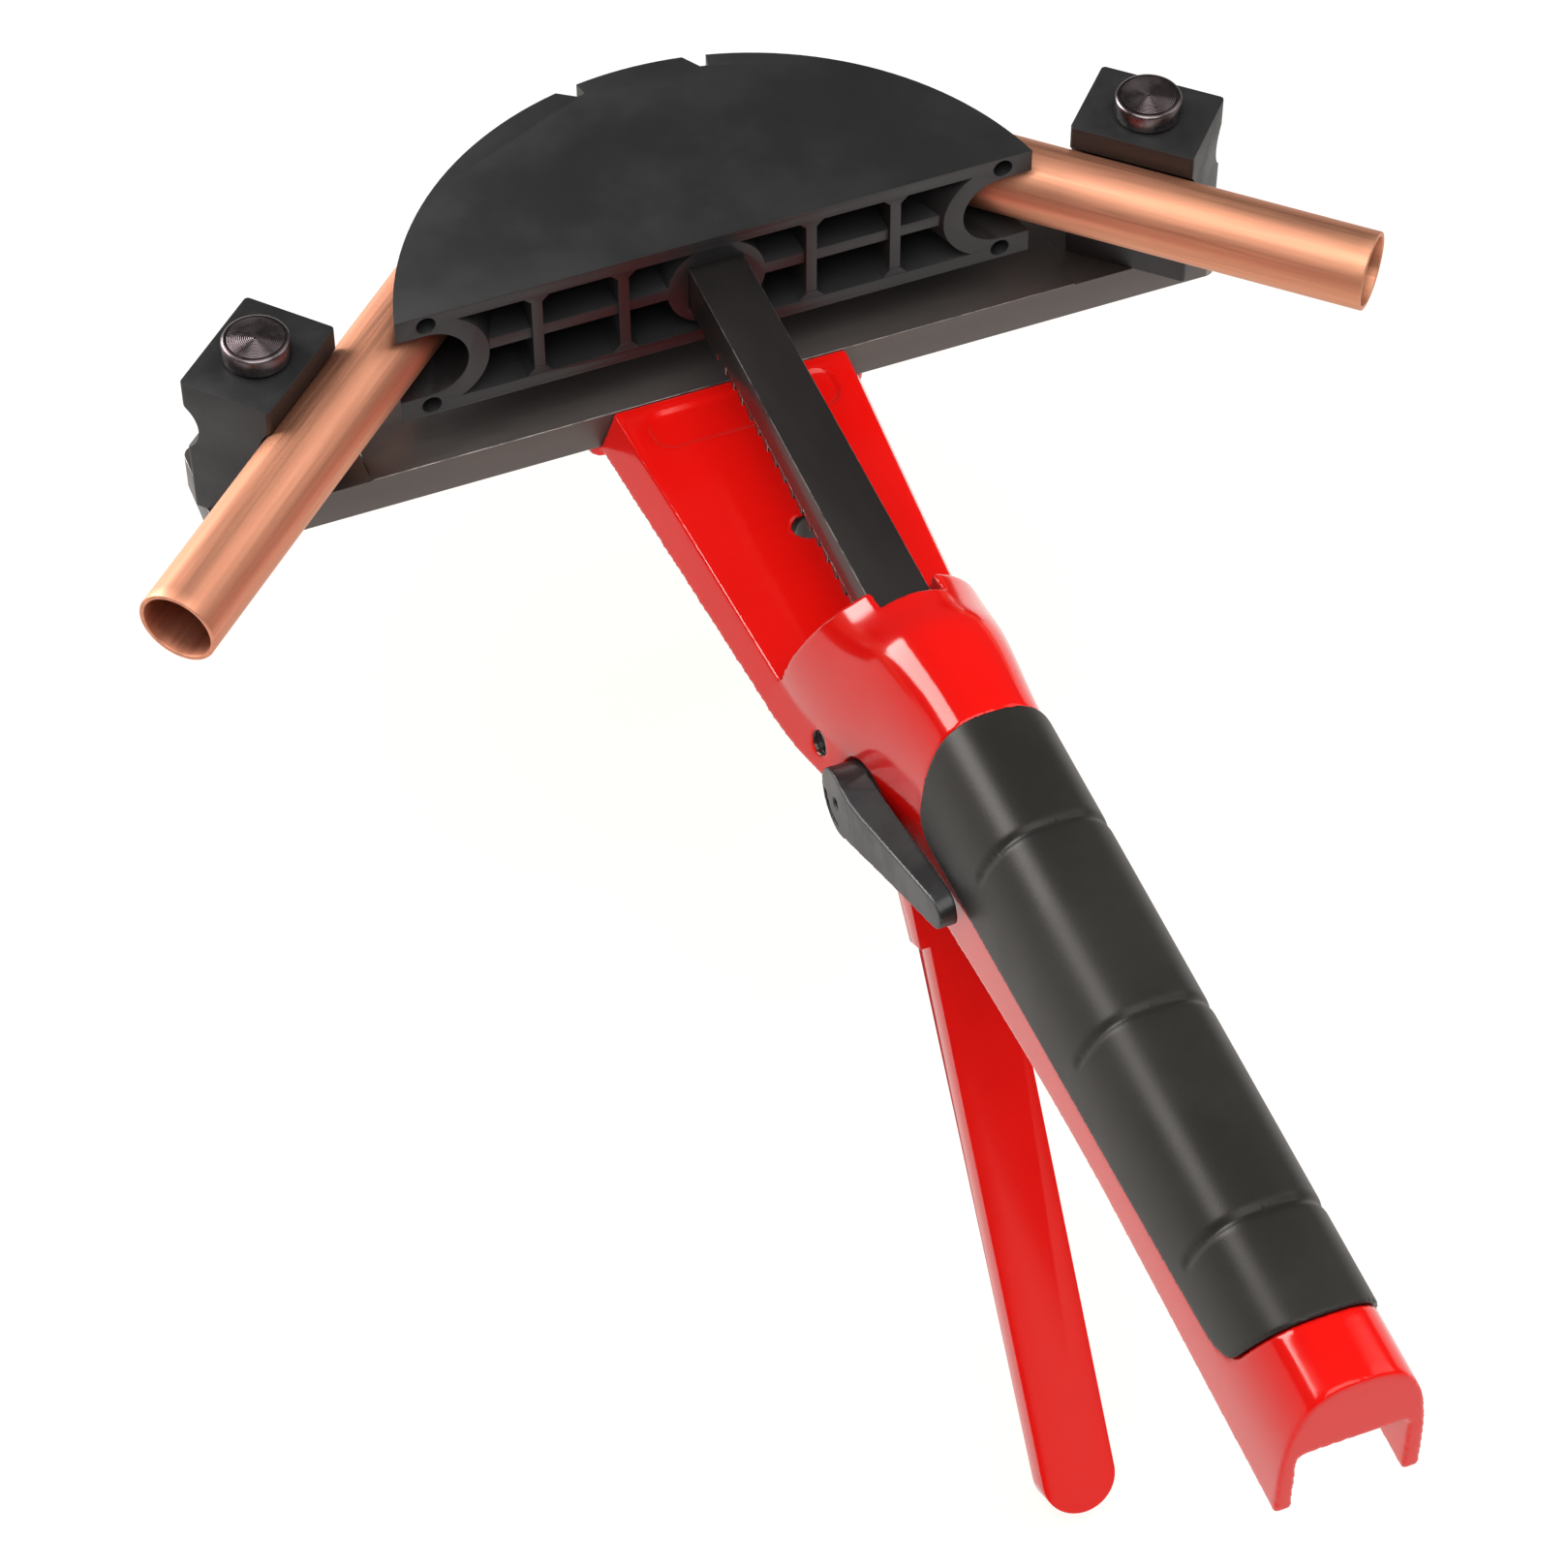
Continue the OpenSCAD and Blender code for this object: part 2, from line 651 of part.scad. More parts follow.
// A straight leg, set a little into the bend's wall and a hair thinner than it
module tube_leg(side, l) {
    lap = 0.5;
    thin = 0.03;
    translate([0, centre_y, axis_z])
        rotate([0, 0, -side * leg_angle])
            translate([0, bend_r, 0])
                rotate([0, 90 * side, 0])
                    translate([0, 0, -lap])
                        difference() {
                            cylinder(r = tube_r - thin, h = l + lap);
                            translate([0, 0, -1]) cylinder(r = tube_r - tube_wall + thin, h = l + lap + 2);
                        }
}
module copper_tube() {
    color([0.72, 0.38, 0.25]) {
        tube_leg(-1, left_leg);
        tube_leg(1, right_leg);
        translate([0, centre_y, axis_z])
            rotate([0, 0, 90 - leg_angle])
                rotate_extrude(angle = 2 * leg_angle, $fn = 96)
                    translate([bend_r, 0])
                        difference() {
                            circle(r = tube_r);
                            circle(r = tube_r - tube_wall);
                        }
    }
}

// The lever is drawn with its blade along -Y and turned down to where it rests open
module at_lever() {
    translate([0, pivot_y, pivot_z]) rotate([lever_open, 0, 0]) children();
}
module drive_lever() {
    pawl_pin = polar(pawl_arm, pawl_pin_angle - lever_open);
    neck = 22;
    color([0.78, 0.03, 0.02])
    at_lever()
        difference() {
            union() {
                for (side = [-1, 1])
                    along_x(min(side * cheek_in, side * cheek_out), max(side * cheek_in, side * cheek_out)) {
                        link([0, 0], hub_r, pawl_pin, pawl_pin_d / 2 + 2);
                        link([0, 0], hub_r, [-neck, 2], 6);
                    }
                along_x(-cheek_out, cheek_out)
                    polygon([[-neck + 2, blade_high - 2], [-neck + 5, -3], [-neck - 10, blade_high - lever_t - 2],
                        [-neck - 26, blade_high - lever_t], [-neck - 26, blade_high], [-neck, blade_high]]);
                intersection() {
                    along_x(-lever_w, lever_w)
                        polygon([[-neck - 10, blade_high], [-neck - 10, blade_high - lever_t - 2],
                            [-lever_l - 1, blade_high - lever_t], [-lever_l - 1, blade_high]]);
                    translate([0, -lever_l + lever_w / 2, -far])
                        linear_extrude(height = 2 * far) {
                            circle(d = lever_w);
                            translate([-lever_w / 2, 0]) square([lever_w, lever_l]);
                        }
                }
            }
            rod_x(-far, far, 0, 0, pivot_d / 2 + run_fit);
            rod_x(-far, far, pawl_pin[0], pawl_pin[1], pawl_pin_d / 2 + run_fit);
        }
}

module lever_pivot_pin() {
    half = skin_half(collar_y - pivot_y) - 1.6;
    color([0.5, 0.5, 0.5])
    rod_x(-half, half, pivot_y, pivot_z, pivot_d / 2);
}

module lever_spring() {
    wire = 1;
    turns = 5.5;
    pitch = 1.5;
    color([0.4, 0.4, 0.42])
    translate([-turns * pitch / 2, pivot_y, pivot_z]) coil(pivot_d / 2 + seat + wire / 2, wire, turns, pitch);
}

module drive_pawl_pin() {
    pawl_pin = polar(pawl_arm, pawl_pin_angle);
    color([0.5, 0.5, 0.5])
    translate([0, pivot_y, pivot_z])
        rod_x(-cheek_out, cheek_out, pawl_pin[0], pawl_pin[1], pawl_pin_d / 2);
}

module drive_pawl() {
    pin = polar(pawl_arm, pawl_pin_angle);
    tip = polar(tip_r, pawl_tip_angle);
    heel = polar(tip_r - 2.6, pawl_tip_angle + 9);
    color([0.3, 0.3, 0.31])
    translate([0, pivot_y, pivot_z])
        difference() {
            along_x(-pawl_half, pawl_half - pawl_spring_w) {
                translate(pin) circle(r = pawl_barrel_r);
                polygon([pin + polar(pawl_barrel_r, 20), tip, heel, pin + polar(pawl_barrel_r, 200)]);
            }
            rod_x(-far, far, pin[0], pin[1], pawl_pin_d / 2 + run_fit);
        }
}

module drive_pawl_spring() {
    pin = polar(pawl_arm, pawl_pin_angle);
    wire = 0.6;
    pitch = 1.1;
    turns = 2;
    color([0.4, 0.4, 0.42])
    translate([pawl_half - pawl_spring_w + wire, pivot_y + pin[0], pivot_z + pin[1]])
        coil(pawl_pin_d / 2 + 0.2 + wire / 2, wire, turns, pitch);
}

module holding_pawl_pin() {
    color([0.5, 0.5, 0.5])
    rod_x(-hold_pin_left, skin_half(collar_y - hold_y) - grip_t - 0.5, hold_y, hold_z, pawl_pin_d / 2);
}

module holding_pawl() {
    tip_z = rack_low - gap;
    color([0.3, 0.3, 0.31])
    difference() {
        union() {
            along_x(-hold_half, hold_half) {
                translate([hold_y, hold_z]) circle(r = hold_barrel_r);
                polygon([[hold_y, hold_z + hold_barrel_r], [hold_tip_y - 3.5, tip_z - 1.2], [hold_tip_y, tip_z],
                    [hold_tip_y, tip_z - 3], [hold_y + 1, hold_z - hold_barrel_r]]);
            }
            rod_x(crank_in - crank_t, -hold_half + eps, peg_y, peg_z, peg_r);
        }
        rod_x(-far, far, hold_y, hold_z, pawl_pin_d / 2 + run_fit);
    }
}
module holding_pawl_spring() {
    wire = 0.8;
    pitch = 1.3;
    turns = 3;
    color([0.4, 0.4, 0.42])
    translate([hold_half + seat + wire / 2, hold_y, hold_z])
        coil(pawl_pin_d / 2 + 0.3 + wire / 2, wire, turns, pitch);
}

// Hardened plate across the channel that the rack slides on
module guide_box() {
    box([-guide_half, guide_y - guide_l / 2, guide_top - guide_t],
        [guide_half, guide_y + guide_l / 2, guide_top]);
}
module rack_guide() {
    color([0.55, 0.5, 0.42]) guide_box();
}

// The release lever lies along the left side and toes in towards the grip
module release_lever() {
    tip = polar(release_l, 180 - release_rise);
    color([0.1, 0.1, 0.1])
    difference() {
        union() {
            rod_x(release_out, release_in, release_y, release_z, release_boss_r);
            translate([release_out, release_y, release_z])
                rotate([0, 0, release_toe])
                    along_x(0.4, release_t * 0.64) link([0, 0], release_boss_r - 1, tip, release_tip_r);
        }
        rod_x(release_out + release_cap, far, release_y, release_z, release_d / 2 + run_fit);
        rod_x(release_out - 1, far, release_y, release_z, release_eye_r);
        roll_rod(roll_d, release_boss_r + 1);
    }
}
module roll_rod(d, half) {
    translate([roll_x, release_y, release_z - half]) cylinder(d = d, h = 2 * half, $fn = 24);
}

// Shaft through the left wall; the hooked crank on its inner end reaches over the holding pawl's peg
module release_shaft() {
    knee = [-3, hook_z];
    knee_r = 2;
    color([0.5, 0.5, 0.5])
    difference() {
        union() {
            rod_x(release_out + release_cap + snug, crank_in, release_y, release_z, release_d / 2);
            translate([0, release_y, release_z])
                along_x(crank_in - crank_t, crank_in) {
                    link([0, 0], release_d / 2, knee, knee_r);
                    link(knee, knee_r, [hook_y, hook_z], hook_r);
                }
        }
        roll_rod(roll_d, release_d);
    }
}

module release_roll_pin() {
    color([0.5, 0.5, 0.5]) roll_rod(roll_d - 2 * run_fit, release_boss_r - 0.6);
}

body_casting();
hand_grip();
cross_beam();
beam_screws();
left_pin();
right_pin();
pin_clips();
rack_guide();
lever_pivot_pin();
lever_spring();
holding_pawl_pin();
holding_pawl_spring();
left_counter_form();
right_counter_form();
rack_bar();
bending_former();
former_pin();
rack_stop_pin();
copper_tube();
drive_lever();
drive_pawl_pin();
drive_pawl_spring();
drive_pawl();
release_lever();
release_shaft();
release_roll_pin();
holding_pawl();
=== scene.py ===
"""Looks of a hand-held ratchet tube bender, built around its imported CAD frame."""
import math

import bmesh
import bpy
import numpy as np
from mathutils import Matrix, Vector


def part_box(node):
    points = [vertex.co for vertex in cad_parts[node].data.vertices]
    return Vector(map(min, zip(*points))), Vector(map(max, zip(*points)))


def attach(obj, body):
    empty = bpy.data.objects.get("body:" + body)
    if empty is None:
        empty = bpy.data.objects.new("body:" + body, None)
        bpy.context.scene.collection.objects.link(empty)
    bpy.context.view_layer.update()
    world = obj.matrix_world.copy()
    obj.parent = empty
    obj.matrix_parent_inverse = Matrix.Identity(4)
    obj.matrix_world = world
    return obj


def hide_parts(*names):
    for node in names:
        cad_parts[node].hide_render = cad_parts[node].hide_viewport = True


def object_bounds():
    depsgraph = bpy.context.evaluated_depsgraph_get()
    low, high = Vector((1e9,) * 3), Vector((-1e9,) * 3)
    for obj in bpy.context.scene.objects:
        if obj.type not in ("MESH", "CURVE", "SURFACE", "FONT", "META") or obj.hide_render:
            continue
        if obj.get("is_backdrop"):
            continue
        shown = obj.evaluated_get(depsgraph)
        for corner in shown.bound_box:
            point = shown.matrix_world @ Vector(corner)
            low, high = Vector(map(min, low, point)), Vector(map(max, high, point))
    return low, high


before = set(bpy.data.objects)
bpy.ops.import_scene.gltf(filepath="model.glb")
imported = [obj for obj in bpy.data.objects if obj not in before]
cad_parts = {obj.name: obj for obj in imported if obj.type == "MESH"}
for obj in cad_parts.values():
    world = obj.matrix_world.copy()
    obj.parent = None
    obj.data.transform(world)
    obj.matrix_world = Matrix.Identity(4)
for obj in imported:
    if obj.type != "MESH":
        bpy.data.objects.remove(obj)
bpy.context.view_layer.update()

bl_info = {
    "name": "Tube bender looks",
    "version": (1, 0, 0),
    "blender": (4, 5, 0),
    "location": "View3D > Sidebar > Bender",
    "description": "Builds the visible pieces of a hand-held ratchet tube bender around its CAD frame",
    "category": "Object",
}

MM = 0.001
AXIS_Z = 24.0
COLLAR_Y = -99.5
HANDLE_L = 230.0
END_Y = COLLAR_Y - HANDLE_L
BEAM_FRONT_Y = -12.5
HEAD_FRONT_W, HEAD_REAR_W = 55.0, 43.5
HEAD_FRONT_H, HEAD_REAR_H = 10.2, 8.0
HEAD_STEP = 0.3
HEAD_LEAN = math.tan(math.radians(20))
LEDGE_LOW = 13.0
RACK_LOW = 18.0
RACK_HIGH = 30.0
CHAN_HALF = 11.2
SLOT_HALF = 6.9
PIVOT_Y = -119.0
HOLD = (-152.0, 10.0)
RELEASE = (-136.0, 0.5)
RELEASE_R = 7.75
GRIP_FRONT_Y = COLLAR_Y - 60.0
GRIP_L = 155.0
GRIP_LOW = 14.8
HANDLE_TOP = 44.5
HANDLE_HALF = 14.7
COLLAR_TOP = 36.5
HEAD_HOLE_Y = COLLAR_Y + 39.5
HEAD_HOLE_R = 3.5
PIVOT_HOLE_R = 2.55
SHAFT_HOLE_R = 4.05
PIN_X, PIN_Y = 104, -3
BEND_CENTRE_Y = -24.771
BEND_R = 70.0
LEG_ANGLE = math.radians(43)
LEFT_LEG, RIGHT_LEG = 127.0, 120.0
GROOVE_TOPS = (-190.5, -239.0, -289.0)
GROOVE_LEAN = 0.19

# The camera's azimuth, elevation and roll in degrees, what it looks at and from how far, in metres
CAMERA_TURN = (-21.15, 49.76, -0.29)
CAMERA_TARGET = (-31.70, -126.71, 0)
CAMERA_DISTANCE = 1.04646
CAMERA_SENSOR = 36
FOCAL_PIXELS, PICTURE_PIXELS = 5200, 1619

# Each lamp's name, place, long axis, width and height, and power in watts
LAMPS = (
    ("overhead", (-0.25, -0.6, 1.5), (0, 1, 0), (1.5, 1.5), 28),
    ("left_back", (-0.88, 0.80, 0.52), (0.22, 0.32, -0.35), (0.66, 1.0), 30),
    ("right_fill", (1.15, -0.1, 1.0), (0, 1, 0), (1.2, 1.2), 8),
)
LAMP_AIM = (0, -0.12, 0.02)
STREAK_LAMP = "left_back"
SKY_SEEN, SKY_MIRRORED, SKY_OTHER = 1.0, 0.10, 0.30
FLOOR_HALF, FLOOR_GAP = 4000, 0.5
FLOOR_GLOW, FLOOR_GLOW_STRENGTH, FLOOR_GLOW_SHARE = (1.0, 0.955, 0.91, 1), 1.16, 0.8


class BenderSizes(bpy.types.PropertyGroup):
    """Sizes that shape the visible pieces"""

    casting_voxel: bpy.props.FloatProperty(
        name="Casting detail", description="Size of the cells that round off the casting's edges",
        default=0.46 * MM, unit="LENGTH")
    grip_voxel: bpy.props.FloatProperty(
        name="Grip detail", description="Size of the cells that round off the grip's edges",
        default=0.5 * MM, unit="LENGTH")
    groove_depth: bpy.props.FloatProperty(
        name="Grip groove depth", description="Depth of the shallow grooves across the grip",
        default=0.6 * MM, unit="LENGTH")
    lever_voxel: bpy.props.FloatProperty(
        name="Release lever detail", description="Size of the cells that round off the release lever's edges",
        default=0.28 * MM, unit="LENGTH")
    edge_round: bpy.props.FloatProperty(
        name="Edge rounding", description="Rounding on the edges of the machined pieces",
        default=0.6 * MM, unit="LENGTH")
    tube_radius: bpy.props.FloatProperty(
        name="Tube radius", description="Outside radius of the copper tube", default=8.99 * MM, unit="LENGTH")
    tube_wall: bpy.props.FloatProperty(
        name="Tube wall", description="Wall of the copper tube", default=1.05 * MM, unit="LENGTH")


class BenderColours(bpy.types.PropertyGroup):
    """Colours of the finishes"""

    red: bpy.props.FloatVectorProperty(
        name="Red enamel", description="Paint on the casting and the lever", subtype="COLOR",
        default=(0.80, 0.006, 0.004))
    rubber: bpy.props.FloatVectorProperty(
        name="Rubber", description="Grip", subtype="COLOR", default=(0.022, 0.0205, 0.0182))
    oxide: bpy.props.FloatVectorProperty(
        name="Black oxide", description="Beam and rack", subtype="COLOR", default=(0.115, 0.100, 0.094))
    plastic: bpy.props.FloatVectorProperty(
        name="Black plastic", description="Former, counter-forms and release lever", subtype="COLOR",
        default=(0.014, 0.0137, 0.014))
    steel: bpy.props.FloatVectorProperty(
        name="Bright steel", description="Pins and shafts", subtype="COLOR", default=(0.55, 0.53, 0.52))
    copper: bpy.props.FloatVectorProperty(
        name="Copper", description="The tube", subtype="COLOR", default=(0.70, 0.31, 0.195))


def sizes():
    return bpy.context.scene.bender_sizes


def colours():
    return bpy.context.scene.bender_colours


# Mesh helpers. Points are given in millimetres and stored in metres.
def mesh_object(name, points, faces):
    mesh = bpy.data.meshes.new(name)
    mesh.from_pydata([tuple(float(c) * MM for c in p) for p in points], [], [tuple(f) for f in faces])
    obj = bpy.data.objects.new(name, mesh)
    bpy.context.scene.collection.objects.link(obj)
    return obj


def outward(obj):
    bm = bmesh.new()
    bm.from_mesh(obj.data)
    bmesh.ops.recalc_face_normals(bm, faces=bm.faces)
    bm.to_mesh(obj.data)
    bm.free()
    return obj


def box(low, high):
    x0, y0, z0 = low
    x1, y1, z1 = high
    points = [(x, y, z) for z in (z0, z1) for y in (y0, y1) for x in (x0, x1)]
    faces = [(0, 2, 3, 1), (4, 5, 7, 6), (0, 1, 5, 4), (2, 6, 7, 3), (0, 4, 6, 2), (1, 3, 7, 5)]
    return mesh_object("box", points, faces)


def drawn_out(name, points):
    """Closes two matching outlines, given one after the other, into a solid"""
    n = len(points) // 2
    faces = [tuple(reversed(range(n))), tuple(range(n, 2 * n))]
    faces += [(i, (i + 1) % n, n + (i + 1) % n, n + i) for i in range(n)]
    return outward(mesh_object(name, points, faces))


def prism(outline, z0, z1):
    """A flat outline in X and Y, raised from z0 to z1"""
    return drawn_out("prism", [(x, y, z) for z in (z0, z1) for x, y in outline])


def side_prism(outline, x0, x1):
    """A flat outline in Y and Z, drawn out from x0 to x1"""
    return drawn_out("side_prism", [(x, y, z) for x in (x0, x1) for y, z in outline])


def long_prism(outline, y0, y1):
    """A flat outline in X and Z, drawn out from y0 to y1"""
    return drawn_out("long_prism", [(x, y, z) for y in (y0, y1) for x, z in outline])


def round_outline(w, d, r, centre=(0, 0), steps=8):
    points = []
    for corner, (sx, sy) in enumerate(((1, 1), (-1, 1), (-1, -1), (1, -1))):
        for i in range(steps + 1):
            a = math.radians(90 * (corner + i / steps))
            points.append((centre[0] + sx * (w / 2 - r) + r * math.cos(a),
                           centre[1] + sy * (d / 2 - r) + r * math.sin(a)))
    return points


def rod(axis, a, b, centre, r, sides=48):
    """A cylinder from a to b along X or Z; centre holds the other two coordinates in order"""
    turns = [2 * math.pi * i / sides for i in range(sides)]
    ring = [(centre[0] + r * math.cos(a), centre[1] + r * math.sin(a)) for a in turns]
    return side_prism(ring, a, b) if axis == "X" else prism(ring, a, b)


def drop(obj):
    mesh = obj.data
    bpy.data.objects.remove(obj)
    bpy.data.meshes.remove(mesh)


def bake_modifiers(obj):
    """The evaluated shape becomes the object's plain mesh"""
    graph = bpy.context.evaluated_depsgraph_get()
    mesh = bpy.data.meshes.new_from_object(obj.evaluated_get(graph), preserve_all_data_layers=True,
                                           depsgraph=graph)
    obj.modifiers.clear()
    old = obj.data
    obj.data = mesh
    mesh.name = obj.name
    if old.users == 0:
        bpy.data.meshes.remove(old)
    return obj


def modify(obj, kind, **settings):
    """Runs one modifier and keeps its result"""
    modifier = obj.modifiers.new(kind.lower(), kind)
    for key, value in settings.items():
        setattr(modifier, key, value)
    return bake_modifiers(obj)


def combine(obj, other, operation):
    modify(obj, "BOOLEAN", object=other, operation=operation, solver="EXACT")
    drop(other)
    return obj


def bevel(obj, width, segments=2, angle=32):
    return modify(obj, "BEVEL", width=width, segments=segments, limit_method="ANGLE",
                  angle_limit=math.radians(angle))


# No edge of a turned piece runs along the cells, so that no edge comes out wavy
TURN = Matrix.Rotation(math.radians(31), 4, "Z") @ Matrix.Rotation(math.radians(23), 4, "X")


def cast_skin(obj, voxel, passes, keep):
    """Rounds every edge alike, as on a cast or moulded piece, and keeps about so many triangles"""
    obj.data.transform(TURN)
    modify(obj, "REMESH", mode="VOXEL", voxel_size=voxel)
    modify(obj, "SMOOTH", factor=0.5, iterations=passes)
    triangles = sum(len(face.vertices) - 2 for face in obj.data.polygons)
    if triangles > keep:
        modify(obj, "DECIMATE", ratio=keep / triangles)
    obj.data.transform(TURN.inverted())
    return obj


def cad_copy(node, name):
    """A merged copy of a CAD node with flat areas joined"""
    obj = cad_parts[node].copy()
    obj.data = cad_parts[node].data.copy()
    for key in list(obj.keys()):
        del obj[key]
    obj.parent = None
    obj.name = obj.data.name = name
    obj.data.materials.clear()
    bpy.context.scene.collection.objects.link(obj)
    bm = bmesh.new()
    bm.from_mesh(obj.data)
    bmesh.ops.remove_doubles(bm, verts=bm.verts, dist=2e-6)
    bmesh.ops.dissolve_limit(bm, angle_limit=math.radians(1.0), verts=bm.verts, edges=bm.edges)
    bm.to_mesh(obj.data)
    bm.free()
    return obj


def vertex_rows(mesh, key):
    """One row of three numbers per vertex: co or normal"""
    rows = np.empty(len(mesh.vertices) * 3, np.float32)
    mesh.vertices.foreach_get(key, rows)
    return rows.reshape(-1, 3)


def mark_edges(obj):
    """Stores how sharply each corner of a narrow face stands out as the attribute edge"""
    mesh = obj.data
    count = len(mesh.vertices)
    co, normal = vertex_rows(mesh, "co"), vertex_rows(mesh, "normal")
    pair = np.empty(len(mesh.edges) * 2, np.int32)
    mesh.edges.foreach_get("vertices", pair)
    pair = pair.reshape(-1, 2)
    way = co[pair[:, 1]] - co[pair[:, 0]]
    way /= np.maximum(np.linalg.norm(way, axis=1, keepdims=True), 1e-9)
    total = np.zeros((count, 3))
    uses = np.zeros(count)
    np.add.at(total, pair[:, 0], way)
    np.add.at(total, pair[:, 1], -way)
    np.add.at(uses, pair[:, 0], 1)
    np.add.at(uses, pair[:, 1], 1)
    sharp = -np.einsum("ij,ij->i", total / np.maximum(uses, 1)[:, None], normal)
    faces = len(mesh.polygons)
    area = np.empty(faces, np.float32)
    mesh.polygons.foreach_get("area", area)
    corners = np.empty(faces, np.int32)
    mesh.polygons.foreach_get("loop_total", corners)
    owner = np.repeat(np.arange(faces), corners)
    corner = np.empty(len(owner), np.int32)
    mesh.loops.foreach_get("vertex_index", corner)
    side = np.empty(len(owner), np.int32)
    mesh.loops.foreach_get("edge_index", side)
    length = np.linalg.norm(co[pair[side, 1]] - co[pair[side, 0]], axis=1)
    around = np.bincount(owner, length, faces)
    narrow = 2 * area / np.maximum(around, 1e-9) < 0.9 * MM
    layer = mesh.attributes.new("edge", "FLOAT", "CORNER")
    layer.data.foreach_set("value", (np.clip(sharp, 0, 1)[corner] * narrow[owner]).astype(np.float32))


def coat(mesh, material):
    mesh.materials.clear()
    mesh.materials.append(material)


def finish_piece(obj, material, body, slot, *nodes, smooth_angle=35):
    mesh = obj.data
    coat(mesh, material)
    mesh.shade_smooth()
    if smooth_angle < 180:
        mesh.set_sharp_from_angle(angle=math.radians(smooth_angle))
    mark_edges(obj)
    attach(obj, body)
    if nodes:
        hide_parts(*nodes)
    return obj


def dress(node, material):
    coat(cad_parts[node].data, material)


# The casting's skin behind the collar, as sections along the handle
def ease(t):
    u = min(max(t, 0.0), 1.0)
    return u * u * (3 - 2 * u)


def skin_half(s):
    return HANDLE_HALF + (HEAD_REAR_W / 2 - HANDLE_HALF + HEAD_STEP) * (1 - ease(s / 60))


def skin_section(s, grow, rows=72, wall=10):
    half = skin_half(s) + grow
    top = COLLAR_TOP + (HANDLE_TOP - COLLAR_TOP) * math.sin(math.radians(90 * min(s / 52, 1))) + grow
    base = 0.6 + 11.4 * ease(s / 60)
    power = 1 - 0.3 * ease(s / 45)
    low = 8.5 - (8.5 + HEAD_REAR_H) * (1 - ease(s / 160))
    spread_out = HEAD_LEAN * (1 - ease(s / 45)) * (base - low)
    lean = 0.37 * (1 - ease(s / 40))
    flat = [(-half - spread_out * (1 - i / wall), low + (base - low) * i / wall) for i in range(wall)]
    for i in range(rows + 1):
        t = math.pi * i / rows
        c = math.cos(t)
        flat.append((-half * math.copysign(abs(c) ** power, c),
                     base + (top - base) * max(math.sin(t), 0) ** power))
    flat += [(half + spread_out * (i + 1) / wall, base + (low - base) * (i + 1) / wall) for i in range(wall)]
    return [(x, COLLAR_Y - s - lean * z, z) for x, z in flat]


def skin(grow, step=2.0):
    stations = np.linspace(0, HANDLE_L, int(HANDLE_L / step) + 1)
    sections = [skin_section(s, grow) for s in stations]
    n = len(sections[0])
    m = len(sections)
    points = [p for section in sections for p in section]
    faces = [(i * n + k, i * n + (k + 1) % n, (i + 1) * n + (k + 1) % n, (i + 1) * n + k)
             for i in range(m - 1) for k in range(n)]
    faces += [tuple(range(n)), tuple(reversed(range((m - 1) * n, m * n)))]
    return outward(mesh_object("skin", points, faces))


def grip_outline(trim):
    """The grip from the side: an upright front, a lower edge that rises and a rear that leans back"""
    front = GRIP_FRONT_Y - trim
    back = GRIP_FRONT_Y - GRIP_L + trim
    low = GRIP_LOW + trim
    high = low + 8.8
    return [(front, 120), (front, low + 5), (front - 0.6, low + 2.8), (front - 2.6, low + 0.8),
            (front - 6, low), (back + 18, high - 0.6), (back + 13, high + 0.3), (back + 9, high + 2.6),
            (back + 6.5, high + 5.6), (back + 3, high + 14), (back, HANDLE_TOP + 0.7), (back, 120)]


